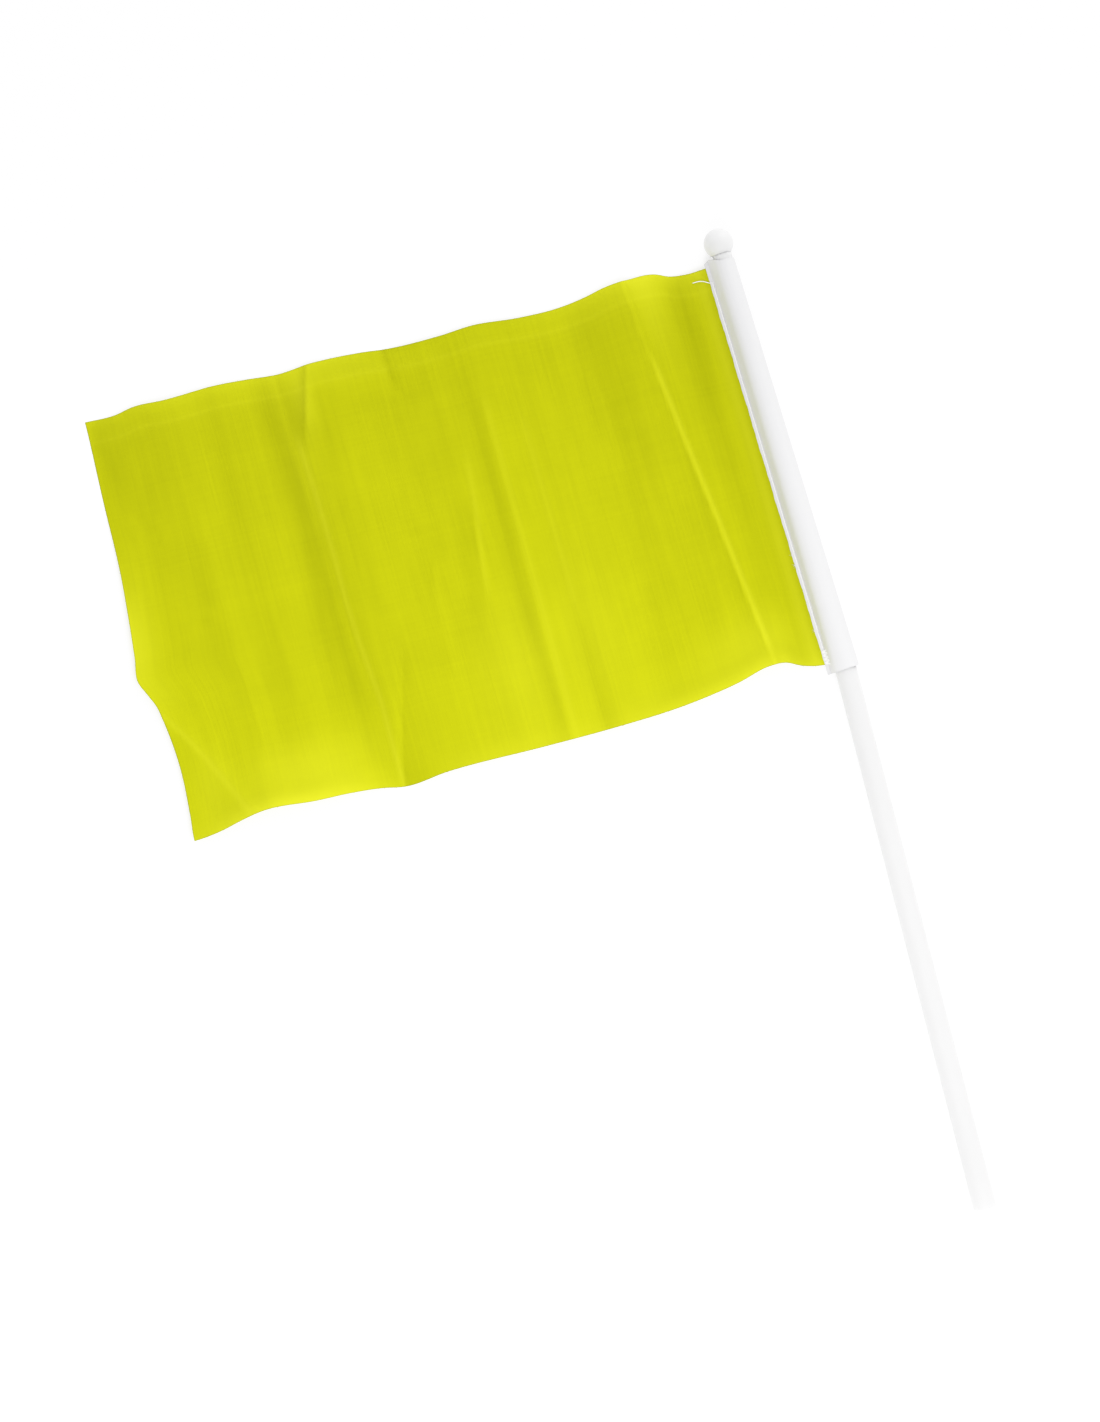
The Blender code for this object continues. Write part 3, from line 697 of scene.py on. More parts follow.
class FLAG_OT_upper(bpy.types.Operator):
    """Upper section: a tapered tube with a straight socket at its foot and an open top"""

    bl_idname = "flag.upper"
    bl_label = "Upper section"

    def execute(self, context):
        pole, colours = context.scene.flag_pole, context.scene.flag_colours
        socket_end = HANDLE_TIP - SHOULDER
        socket = FOOT_RADIUS - pole.wall
        outline = rounded(
            [
                (socket, 0),
                (FOOT_RADIUS, 0),
                (TOP_RADIUS, UPPER_LENGTH),
                (TOP_RADIUS - pole.wall, UPPER_LENGTH),
                (TOP_RADIUS - pole.wall, UPPER_LENGTH - pole.plug_length - pole.wall),
                (socket - pole.wall, socket_end + 4 * pole.wall),
                (socket, socket_end + 2 * pole.wall),
            ],
            pole.lip_round,
        )
        finish = plastic_finish("upper plastic", colours.upper, 0.38, 0.5)
        turned("upper_section", outline, UPPER, finish, "upper_pole", "upper_tube", "pole_plastic")
        return {"FINISHED"}


class FLAG_OT_ball(bpy.types.Operator):
    """Ball with a flat seat, a chamfered plug and the small mark of its moulding gate"""

    bl_idname = "flag.ball"
    bl_label = "Ball"

    def execute(self, context):
        pole, colours = context.scene.flag_pole, context.scene.flag_colours
        centre = BALL_TOP - BALL_RADIUS
        seat = UPPER_LENGTH + pole.seat_gap
        seat_angle = math.acos((centre - seat) / BALL_RADIUS)
        turns = np.linspace(0, math.pi - seat_angle, 49)
        radius = BALL_RADIUS * np.sin(turns)
        # The gate's mark is a dish with a low collar round it.
        dish = -0.00010 * np.exp(-((radius / pole.gate_radius) ** 4))
        collar = 0.00004 * np.exp(-(((radius - pole.gate_radius * 1.25) / (pole.gate_radius * 0.3)) ** 2))
        height = centre + BALL_RADIUS * np.cos(turns) + (dish + collar) * (np.cos(turns) > 0)
        radius[0] = 0.0
        plug = TOP_RADIUS - pole.wall - 2 * pole.seat_gap
        low = seat - pole.plug_length
        soft = plug * 0.2
        fillet = pole.lip_round * 0.5
        lower = [
            (plug + fillet, seat),
            (plug, seat - fillet),
            (plug, low + soft),
            (plug - soft, low),
            (0, low),
        ]
        outline = np.concatenate([np.stack([radius, height], axis=1), lower])
        finish = plastic_finish("ball plastic", colours.ball, 0.30, 0.35)
        turned("ball_knob", outline, UPPER, finish, "finial", "ball_finial", "ball_plastic", poles=True)
        return {"FINISHED"}


# ---- the sleeve

SLEEVE_FOOT = -0.0020
SLEEVE_TOP_BELOW_END = 0.0030
SLEEVE_EASE = 0.00020
LIP_INSIDE_SEAM = 0.0006
SEWN_GAP = 0.00003
# Puckers, one to a stitch: height, reach from the seam, and how far right of it they can be seen.
PUCKER_HEIGHT, PUCKER_REACH, PUCKER_END = 0.00006, 0.0011, 0.0035
# Slack folds on the slopes: height, and for each of two waves its length along the pole, its length
# across it, its strength and its phase.
SLACK_HEIGHT = 0.00010
SLACK_WAVES = ((0.0145, 0.004, 1.0, 0.0), (0.0083, -0.003, 0.6, 1.0))
# The top corner beside the seam stands up: rise, reach and the length of sleeve that follows it.
CORNER_RISE, CORNER_REACH, CORNER_BAND = 0.0031, 0.0034, 0.006
CORNER_LIFT = 0.0004
FOOT_DROP, FOOT_BAND = 0.0007, 0.004
SLEEVE_FIBRES = 150
TUFTS_AT = (0.0195, 0.0520, 0.0572)
TUFT_FIBRES = 4
TUFT_LENGTH = 0.0013


def seam_right(seam):
    """Place of the seam beside the pole's axis. It lies on the left, so it is negative."""
    return -(FOOT_RADIUS + seam.beside_tube)


def lips_up(seam):
    """Height of the panel's sewn edge, counted from the pole's axis."""
    return seam.lips_above_table - UPPER.origin[2]


def lip_offset(cloth):
    """From the panel's middle to the middle of either lip."""
    return cloth.thickness + SEWN_GAP


def tube_radius(along):
    """Outer radius of the upper section, which tapers evenly."""
    share = np.clip(along / UPPER_LENGTH, 0, 1)
    return FOOT_RADIUS + (TOP_RADIUS - FOOT_RADIUS) * share


def sleeve_middle(cloth, seam, stations, steps):
    """Middle surface of the sleeve as (right, up, along), each on a grid of stations along the pole.

    Across the pole it runs along the under lip, straight up to the tube as a tangent, round the tube, down
    again as a tangent and out along the upper lip.
    """
    along = np.linspace(SLEEVE_FOOT, UPPER_LENGTH - SLEEVE_TOP_BELOW_END, stations)[:, None]
    radius = tube_radius(along) + SLEEVE_EASE + cloth.thickness / 2
    inner = seam_right(seam) + LIP_INSIDE_SEAM
    outer = seam_right(seam) - seam.lip_beyond
    low, high = lips_up(seam) - lip_offset(cloth), lips_up(seam) + lip_offset(cloth)
    from_low = math.atan2(low, inner) + np.arccos(radius / math.hypot(inner, low))
    from_high = math.atan2(high, inner) - np.arccos(radius / math.hypot(inner, high)) + math.tau
    turn = from_low + (from_high - from_low) * np.linspace(0, 1, steps)
    round_right, round_up = radius * np.cos(turn), radius * np.sin(turn)
    out = np.linspace(0, 1, 6)[:-1]
    slope = np.linspace(0, 1, 8)[:-1]
    ones = np.ones_like(along)

    def side(level, last_right, last_up):
        right = [outer + (inner - outer) * out * ones, inner + (last_right - inner) * slope]
        up = [level + 0 * out * ones, level + (last_up - level) * slope]
        return np.concatenate(right, axis=1), np.concatenate(up, axis=1)

    low_right, low_up = side(low, round_right[:, :1], round_up[:, :1])
    high_right, high_up = side(high, round_right[:, -1:], round_up[:, -1:])
    right = np.concatenate([low_right, round_right, high_right[:, ::-1]], axis=1)
    up = np.concatenate([low_up, round_up, high_up[:, ::-1]], axis=1)
    return right, up, along + 0 * right


def raw_edge(along, seed):
    """Unevenness of a raw edge: a few waves of different lengths and one of random phases."""
    rng = np.random.default_rng(seed)
    lengths = np.array([0.0310, 0.0130, 0.0061, 0.0027])
    sizes = np.array([0.00008, 0.00006, 0.00005, 0.00003])
    phases = rng.uniform(0, math.tau, 4)
    return sum(s * np.sin(along / w * math.tau + p) for s, w, p in zip(sizes, lengths, phases))


def sleeve_surface(cloth, seam, stations=200, steps=72):
    """The sleeve's middle surface with its puckers, slack folds, raw edge, raised top corner and foot."""
    right, up, along = sleeve_middle(cloth, seam, stations, steps)
    seam_at, outer = seam_right(seam), seam_right(seam) - seam.lip_beyond
    level = lips_up(seam)
    on_top = up > level
    near_seam = np.exp(-(((right - seam_at) / PUCKER_REACH) ** 2)) * (right < seam_at + PUCKER_END)
    pucker = PUCKER_HEIGHT * np.cos(along / seam.stitch_length * math.tau) * near_seam
    slope = smoothstep((right - seam_at) / 0.0012) * smoothstep((-FOOT_RADIUS * 0.35 - right) / 0.003)
    folds = sum(
        strength * np.sin(along / length * math.tau + right / across + phase)
        for length, across, strength, phase in SLACK_WAVES
    )
    slack = SLACK_HEIGHT * slope * folds
    up = up + np.where(on_top, 1, -1) * (pucker + slack * (up < 0))
    lip = smoothstep((seam_at - right) / (seam_at - outer))
    right = right + raw_edge(along, 3) * lip
    top, foot = along.max(), along.min()
    to_left = smoothstep(-right / -seam_at)
    corner = to_left * np.exp(-(((right - seam_at * 0.83) / CORNER_REACH) ** 2))
    end = smoothstep((along - top + CORNER_BAND) / CORNER_BAND)
    along = along + (CORNER_RISE * corner + raw_edge(right * 5, 5)) * end
    start = smoothstep((foot + FOOT_BAND - along) / FOOT_BAND)
    along = along - (FOOT_DROP * to_left + raw_edge(right * 5, 6)) * start
    up = up + CORNER_LIFT * corner * end * on_top
    return right, up, along


def fibres(name, roots, ways, finish, slot, radius, seed):
    """Loose ends of yarn at a cut edge. Each is a thin tube that leaves its root along its way, bends a
    little aside as a quadratic curve, and gets thinner towards its tip."""
    rng = np.random.default_rng(seed)
    t = np.linspace(0, 1, 5)
    length = np.linalg.norm(ways, axis=1)[:, None]
    aside = rng.normal(0, 0.25, (len(roots), 3)) * length
    routes = roots[:, None] + ways[:, None] * t[:, None] + aside[:, None] * (t**2)[:, None]
    routes[..., 2] = np.maximum(routes[..., 2], radius * 1.5)
    radii = radius * (1 - 0.7 * t) * np.ones((len(roots), 1))
    points, faces, uv = tubes(routes, radii, 4)
    return piece(name, points, faces, finish, "flag", [], slot, uv, sharp=80)


class FLAG_OT_sleeve(bpy.types.Operator):
    """Sleeve of white cloth folded round the upper section, with two raw lips and their loose fibres"""

    bl_idname = "flag.sleeve"
    bl_label = "Sleeve"

    def execute(self, context):
        cloth, seam, colours = context.scene.flag_cloth, context.scene.flag_seam, context.scene.flag_colours
        right, up, along = sleeve_surface(cloth, seam)
        middle = put(UPPER, right, up, along)
        across = np.concatenate([[0], np.cumsum(np.linalg.norm(np.diff(middle[0], axis=0), axis=1))])
        uv = np.stack([across + 0 * along, along], axis=-1)
        points, faces, corner_uv = two_layers(middle, grid_normals(middle), cloth.thickness, uv)
        finish = cloth_finish("sleeve cloth", colours.sleeve, cloth.sleeve_pitch, 2.0, 0.55, 0.20)
        band = piece("sleeve_band", points, faces, finish, "flag", ["pole_sleeve"], "sleeve_cloth", corner_uv)
        self.fray(cloth, seam, finish)
        return {"FINISHED"}

    def fray(self, cloth, seam, finish):
        """Short fibres along both raw lips, and three longer tufts on the upper one."""
        rng = np.random.default_rng(11)
        count = SLEEVE_FIBRES
        along = rng.uniform(SLEEVE_FOOT, UPPER_LENGTH - SLEEVE_TOP_BELOW_END, count)
        top = rng.random(count) < 0.6
        level = lips_up(seam) + np.where(top, 1, -1) * lip_offset(cloth)
        length = cloth.fray_length * rng.uniform(0.3, 1.0, count)
        tufts = np.repeat(TUFTS_AT, TUFT_FIBRES)
        along = np.concatenate([along, tufts + rng.normal(0, 0.0002, len(tufts))])
        level = np.concatenate([level, np.full(len(tufts), lips_up(seam) + lip_offset(cloth))])
        length = np.concatenate([length, np.full(len(tufts), TUFT_LENGTH)])
        edge = seam_right(seam) - seam.lip_beyond + 0.0002
        roots = put(UPPER, edge + 0 * along, level, along)
        lean = rng.normal(0, 0.5, len(along))
        ways = -UPPER.right * length[:, None] + UPPER.along * (length * lean)[:, None]
        ways += UPPER.up * (length * rng.uniform(0.0, 0.35, len(along)))[:, None]
        fibres("sleeve_fray", roots, ways, finish, "sleeve_cloth", 0.00007, 12)


# ---- the cloth panel

TUCKED_IN = 0.0009
ABOVE_SOCKET = 0.0022
SLEEVE_HOLD = 0.016
PANEL_CUT = (0.315, 0.200)
PANEL_GRID = (262, 178)
PANEL_FIBRES = 420
# How far each cut edge stands out past the straight line between its corners, in millimetres. Each pair
# is a share of the way along that edge and a distance.
TOP_EDGE = (
    (0.00, 0.0), (0.041, -0.5), (0.067, 1.0), (0.080, 2.9), (0.13, 3.7), (0.171, 2.5), (0.197, 0.7),
    (0.25, -1.4), (0.31, -1.3), (0.379, 0.4), (0.431, -0.7), (0.508, -0.8), (0.56, 0.8), (0.64, 1.3),
    (0.69, 0.0), (0.742, 1.3), (0.794, 2.0), (0.872, 1.0), (0.924, 1.3), (0.95, -0.2), (1.00, 0.0),
)
BOTTOM_EDGE = (
    (0.00, 0.0), (0.040, -2.5), (0.065, -6.2), (0.090, -6.6), (0.141, -3.0), (0.217, 0.3), (0.344, 1.8),
    (0.445, 1.5), (0.60, 0.6), (0.673, 1.9), (0.70, 0.0), (0.75, -2.0), (0.80, -2.9), (0.888, -5.1),
    (0.926, -3.2), (0.951, -1.5), (1.00, 0.0),
)
FREE_EDGE = (
    (0.00, -0.6), (0.06, -1.6), (0.18, -2.5), (0.29, -0.3), (0.32, 0.8), (0.352, 3.6), (0.386, 6.6),
    (0.44, 5.3), (0.52, 3.7), (0.64, 2.0), (0.81, 1.6), (1.00, 0.6),
)
EDGE_BAND = 0.45
FREE_EDGE_BAND = 0.2
# Three pressed creases, as pairs of a share of the way up and a share of the fly.
LONG_CREASE = (
    (0, 0.676), (0.08, 0.677), (0.2, 0.676), (0.35, 0.685), (0.45, 0.688), (0.55, 0.687), (0.72, 0.690),
    (0.85, 0.695), (1, 0.697),
)
HOIST_CREASE = (
    (0, 0.080), (0.2, 0.090), (0.4, 0.100), (0.55, 0.110), (0.7, 0.120), (0.85, 0.130), (1, 0.138),
)
MIDDLE_CREASE = (
    (0, 0.478), (0.35, 0.477), (0.45, 0.472), (0.55, 0.462), (0.65, 0.455), (0.8, 0.447), (1, 0.445),
)


def moved(line, by):
    """A fold line moved along the fly."""
    return tuple((up, share + by) for up, share in line)


# Lines along which the cloth changes its slope, from the hoist to the free edge. Between two lines it is
# straight. Each has its path and its heights in millimetres at the stations, which are shares of the way up.
STATIONS = (0, 0.06, 0.16, 0.5, 0.85, 0.95, 1)
FOLD_LINES = (
    (((0, 0.0), (1, 0.0)), (2.0, 2.0, 2.0, 2.0, 2.0, 2.1, 2.2)),
    (((0, 0.028), (1, 0.028)), (3.0, 2.9, 2.9, 3.0, 3.3, 3.3, 3.0)),
    (((0, 0.058), (0.5, 0.066), (1, 0.078)), (4.2, 3.2, 2.2, 1.3, 0.7, 0.7, 0.8)),
    (moved(HOIST_CREASE, -0.012), (5.6, 4.0, 2.4, 1.3, 1.5, 2.2, 2.2)),
    (HOIST_CREASE, (6.3, 4.4, 2.9, 1.9, 2.6, 3.2, 3.2)),
    (((0, 0.16), (0.5, 0.165), (1, 0.165)), (5.4, 3.5, 2.2, 1.8, 2.4, 3.0, 3.0)),
    (((0, 0.25), (0.2, 0.245), (0.45, 0.236), (0.65, 0.222), (1, 0.23)), (4.8, 3.1, 1.6, 0.8, 0.4, 1.2, 1.6)),
    (((0, 0.33), (0.5, 0.335), (1, 0.338)), (5.0, 4.4, 3.8, 2.9, 2.2, 2.6, 2.4)),
    (((0, 0.362), (0.5, 0.36), (1, 0.362)), (3.5, 3.0, 2.6, 2.7, 2.4, 2.8, 2.3)),
    (((0, 0.402), (0.4, 0.400), (1, 0.395)), (4.9, 4.6, 4.3, 3.9, 3.1, 3.3, 2.6)),
    (((0, 0.432), (1, 0.435)), (4.0, 3.5, 3.1, 2.7, 2.4, 3.0, 2.6)),
    (MIDDLE_CREASE, (4.0, 3.8, 3.5, 3.3, 2.8, 3.0, 2.4)),
    (moved(MIDDLE_CREASE, 0.018), (3.8, 3.4, 3.2, 2.8, 2.7, 3.2, 2.6)),
    (((0, 0.55), (1, 0.55)), (3.6, 3.3, 3.0, 2.7, 2.4, 2.8, 1.2)),
    (((0, 0.62), (1, 0.62)), (2.8, 2.9, 3.0, 3.4, 3.2, 3.2, 1.4)),
    (moved(LONG_CREASE, -0.014), (1.8, 2.2, 2.8, 3.1, 2.8, 2.6, 2.2)),
    (LONG_CREASE, (1.4, 2.0, 2.6, 2.9, 2.6, 2.5, 2.3)),
    (moved(LONG_CREASE, 0.02), (1.6, 1.5, 1.8, 1.7, 1.6, 1.8, 1.6)),
    (
        ((0, 0.735), (0.4, 0.742), (0.68, 0.728), (0.85, 0.735), (1, 0.735)),
        (3.2, 2.2, 1.4, 0.8, 0.8, 1.2, 1.4),
    ),
    (((0, 0.79), (1, 0.79)), (6.4, 4.3, 2.4, 1.9, 1.6, 2.2, 2.4)),
    (((0, 0.825), (1, 0.825)), (7.0, 4.6, 2.3, 1.4, 1.2, 2.0, 2.3)),
    (((0, 0.865), (1, 0.865)), (7.2, 4.9, 2.6, 1.9, 2.1, 2.8, 3.0)),
    (((0, 0.905), (1, 0.905)), (5.9, 4.4, 2.6, 1.6, 2.1, 2.6, 2.9)),
    (((0, 0.955), (1, 0.955)), (5.1, 3.9, 2.6, 1.7, 1.3, 1.6, 1.9)),
    (((0, 1.0), (1, 1.0)), (4.0, 3.6, 3.2, 3.4, 0.3, 0.3, 0.5)),
)
# Sharp ridges on top of these: path, rise in millimetres, its reach to the right and to the left of the
# line in millimetres, and the stretch of the way up that it spans.
RIDGES = (
    (LONG_CREASE, -0.30, 4.0, 2.6, (-0.2, 1.2)),
    (HOIST_CREASE, 0.80, 1.5, 3.0, (-0.2, 1.2)),
    (((0, 0.672), (0.1, 0.658), (0.2, 0.640), (0.3, 0.620)), -0.5, 6.5, 1.7, (-0.2, 0.34)),
    (((0, 0.405), (1, 0.398)), 0.18, 1.7, 2.0, (-0.2, 0.88)),
    (((0.3, 0.478), (0.5, 0.463), (0.62, 0.450)), 0.35, 3.0, 4.0, (0.30, 0.64)),
    (((0.4, 0.275), (0.7, 0.262)), 0.12, 2.0, 3.0, (0.42, 0.72)),
    (((0.8, 0.680), (0.83, 0.676), (1, 0.645)), 1.1, 12.0, 4.0, (0.80, 1.2)),
    (((0.88, 0.523), (1, 0.527)), -0.6, 2.5, 7.0, (0.86, 1.2)),
    (((0.1, 0.86), (0.7, 0.865)), 0.3, 5.0, 4.0, (0.10, 0.78)),
    (((0.2, 0.552), (0.42, 0.548), (0.5, 0.53)), 0.25, 3.0, 3.0, (0.18, 0.52)),
)
FADE = 0.08
# Small dents and bumps left by handling: share, way up, rise and reach in millimetres.
DENTS = (
    (0.885, 0.49, 0.16, 3.0), (0.932, 0.73, 0.12, 2.4), (0.957, 0.755, -0.12, 2.6),
    (0.925, 0.69, 0.10, 2.0), (0.965, 0.71, 0.10, 2.2), (0.268, 0.62, 0.14, 3.0),
    (0.655, 0.72, 0.10, 3.0), (0.33, 0.64, -0.08, 3.4), (0.30, 0.40, 0.07, 4.0),
    (0.25, 0.40, 0.06, 3.0), (0.80, 0.55, -0.25, 9.0), (0.17, 0.46, -0.10, 5.0),
)
# The top edge hangs down a little: rise and reach in millimetres.
TOP_HANG = -0.6, 4.0
# The free bottom corner folds down past a slanting line from this share of each edge.
CORNER_FOLD_AT = (0.895, 0.33)
CORNER_FOLD_HEIGHT = 0.22
CORNER_FOLD_REACH = 2.2
CORNER_WAVES_LEFT = 0.85
PRESSED_LINE_AT = 0.948
PRESSED_LINE_RISE, PRESSED_LINE_REACH = 0.12, 0.9
# The waves are made higher about a level, and all are lifted a little, in millimetres.
WAVE_GAIN = 1.3
WAVE_LEVEL = 2.7
WAVE_LIFT = 0.3
# Lines of painted light, brighter strips along creases and beside the seam: path, strength, reach in
# millimetres and stretch of the way up.
PAINTED_LIGHT_LINES = (
    (moved(HOIST_CREASE, -0.002), 0.60, 1.3, (0.0, 0.84)),
    (moved(LONG_CREASE, -0.006), 0.42, 1.2, (-0.2, 0.88)),
    (moved(MIDDLE_CREASE, -0.008), 0.20, 1.3, (0.34, 0.74)),
    (((0, 0.397), (1, 0.392)), 0.18, 1.5, (-0.2, 0.86)),
    (((0, 0.345), (1, 0.345)), 0.14, 1.5, (0.25, 0.80)),
    (((0, 0.018), (1, 0.018)), 0.40, 3.0, (-0.2, 1.2)),
)
# Patches of painted light: share, way up, strength, and reach in millimetres across and up.
PAINTED_LIGHT_SPOTS = (
    (0.108, 0.97, 0.40, 8.0, 28.0), (1.0, 0.46, 0.60, 9.0, 26.0), (0.955, 0.11, 0.22, 10.0, 16.0),
    (0.45, 0.18, 0.22, 22.0, 34.0), (0.33, 0.22, 0.14, 20.0, 40.0), (0.80, 0.09, 0.30, 30.0, 12.0),
    (0.10, 0.08, 0.28, 26.0, 14.0), (0.662, 0.93, 0.40, 4.5, 14.0), (0.69, 0.80, 0.12, 8.0, 40.0),
)
# How much painted light the cloth gets at its bottom and top edges, by share of the fly, and how far in that
# reaches.
PAINTED_LIGHT_BOTTOM = (
    (0, 0.7), (0.08, 0.9), (0.2, 0.6), (0.35, 0.35), (0.55, 0.35), (0.67, 0.10), (0.75, 0.9),
    (0.92, 0.9), (1, 0.4),
)
PAINTED_LIGHT_TOP = (
    (0, 0.6), (0.12, 0.8), (0.25, 0.30), (0.36, 0.0), (0.5, 0.05), (0.6, 0.45), (0.7, 0.45), (1, 0.35),
)
PAINTED_LIGHT_REACH = 7.0
PAINTED_LIGHT_PRESSED = 0.16
# The line of painted light beside the corner's fold line: strength, distance past it and reach, in
# millimetres.
PAINTED_LIGHT_CORNER = 0.32, 2.0, 1.5


def along_line(line, up):
    """Share of the fly at which a fold line stands, straight between its pairs."""
    at, share = np.array(line).T
    return np.interp(up, at, share)


def facets(share, up):
    """Height in millimetres of a cloth that is straight between its fold lines."""
    height, last = np.zeros_like(share), None
    for line, heights in FOLD_LINES:
        at = along_line(line, up)
        level = curve_through(tuple(zip(STATIONS, heights)), up)
        if last is not None:
            step = (share - last[0]) / np.maximum(at - last[0], 1e-4)
            height = np.where(share >= last[0], last[1] + (level - last[1]) * np.clip(step, 0, 1), height)
        last = at, level
    return height


def ridge(share, up, line, rise, to_right, to_left, span, fly):
    """A sharp ridge along a line: it falls off exponentially to either side, and fades at its ends."""
    away = (share - along_line(line, up)) * fly / MM
    side = np.where(away > 0, np.exp(-np.abs(away) / to_left), np.exp(-np.abs(away) / to_right))
    return rise * side * smoothstep((up - span[0]) / FADE) * smoothstep((span[1] - up) / FADE)


def corner_distance(cloth, share, up):
    """Distance in millimetres past the corner's fold line, below 0 on the side of the rest of the cloth."""
    across, along = CORNER_FOLD_AT
    legs = cloth.fly * (1 - across) / MM, (cloth.hoist + cloth.flare) * along / MM
    return ((share - across) / (1 - across) - up / along) * legs[0] * legs[1] / math.hypot(*legs)


def paleness(cloth, share, up):
    """How much painted light the cloth gets, 0 to 1: bell curves about the lines and the areas, and an
    exponential fall from the bottom and top edges, from the pressed line and from the corner's fold line."""
    fly, hoist = cloth.fly / MM, cloth.hoist / MM
    painted_light = curve_through(PAINTED_LIGHT_BOTTOM, share) * np.exp(-up * hoist / PAINTED_LIGHT_REACH)
    painted_light += curve_through(PAINTED_LIGHT_TOP, share) * np.exp(-(1 - up) * hoist / PAINTED_LIGHT_REACH)
    for line, strength, reach, span in PAINTED_LIGHT_LINES:
        ends = smoothstep((up - span[0]) / FADE) * smoothstep((span[1] - up) / FADE)
        painted_light += strength * ends * np.exp(-(((share - along_line(line, up)) * fly / reach) ** 2))
    for at, way_up, strength, across, along in PAINTED_LIGHT_SPOTS:
        aside, over = (share - at) * fly / across, (up - way_up) * hoist / along
        painted_light += strength * np.exp(-(aside**2) - over**2)
    painted_light += PAINTED_LIGHT_PRESSED * np.exp(-np.abs(up - PRESSED_LINE_AT) * hoist)
    strength, past, reach = PAINTED_LIGHT_CORNER
    painted_light += strength * np.exp(-((corner_distance(cloth, share, up) - past) ** 2) / reach**2)
    return np.clip(painted_light, 0, 1)


def wave_height(cloth, share, up):
    """Height of the cloth's middle above the table, in metres, before the sleeve and the table set it.

    It is the height of the straight facets, averaged over the softness of a fold, with the sharp ridges,
    the slanting corner fold and one faint line that was pressed across the cloth.
    """
    softness = cloth.fold_softness / cloth.fly
    height = sum(facets(share + k * softness, up) for k in (-1, -0.5, 0, 0.5, 1)) / 5
    for line, rise, to_right, to_left, span in RIDGES:
        height = height + ridge(share, up, line, rise, to_right, to_left, span, cloth.fly)
    for at, way_up, rise, reach in DENTS:
        across = (share - at) * cloth.fly / MM
        over = (up - way_up) * cloth.hoist / MM
        height = height + rise * np.exp(-(across**2 + over**2) / reach**2)
    height = height + TOP_HANG[0] * np.exp(-(1 - up) * cloth.hoist / MM / TOP_HANG[1])
    height = WAVE_GAIN * (height - WAVE_LEVEL) + WAVE_LEVEL + WAVE_LIFT
    from_line = np.abs(up - PRESSED_LINE_AT) * cloth.hoist / MM
    height = height + PRESSED_LINE_RISE * np.exp(-from_line / PRESSED_LINE_REACH)
    distance = corner_distance(cloth, share, up)
    height = height + CORNER_FOLD_HEIGHT * np.exp(-np.abs(distance) / CORNER_FOLD_REACH)
    lowered = (1 - CORNER_WAVES_LEFT) * smoothstep(distance / (8 * CORNER_FOLD_REACH))
    return height * (1 - lowered) * MM


def panel_surface(cloth, seam, share, up):
    """Middle of the panel: share runs from the hoist to the free edge, up from the bottom to the top.

    In plan it is a straight sheet between its four corners, moved out or in near each cut edge. Near the
    sleeve its height is that of the lips.
    """
    hidden = seam_right(seam) + TUCKED_IN
    ends = put(UPPER, hidden, lips_up(seam), np.array([0, cloth.hoist]) + ABOVE_SOCKET)
    middle, half = ends.mean(axis=0), (cloth.hoist + cloth.flare) / 2
    free = middle - [cloth.fly, cloth.skew, 0] + np.array([[0, -half, 0], [0, half, 0]])
    hoist = ends[0] + (ends[1] - ends[0]) * up[..., None]
    point = hoist + (free[0] + (free[1] - free[0]) * up[..., None] - hoist) * share[..., None]
    near_free = smoothstep((share - 1 + FREE_EDGE_BAND) / FREE_EDGE_BAND)
    near_top = smoothstep((up - 1 + EDGE_BAND) / EDGE_BAND)
    near_bottom = smoothstep((EDGE_BAND - up) / EDGE_BAND)
    point[..., 0] -= curve_through(FREE_EDGE, up) * near_free * MM
    point[..., 1] += curve_through(TOP_EDGE, share) * near_top * MM
    point[..., 1] -= curve_through(BOTTOM_EDGE, share) * near_bottom * MM
    held = (share * cloth.fly - TUCKED_IN - seam.lip_beyond - cloth.thickness) / SLEEVE_HOLD
    loose = smoothstep(held)
    point[..., 2] = hoist[..., 2] * (1 - loose) + wave_height(cloth, share, up) * loose
    point[..., 2] = np.maximum(point[..., 2], cloth.thickness / 2)
    return point


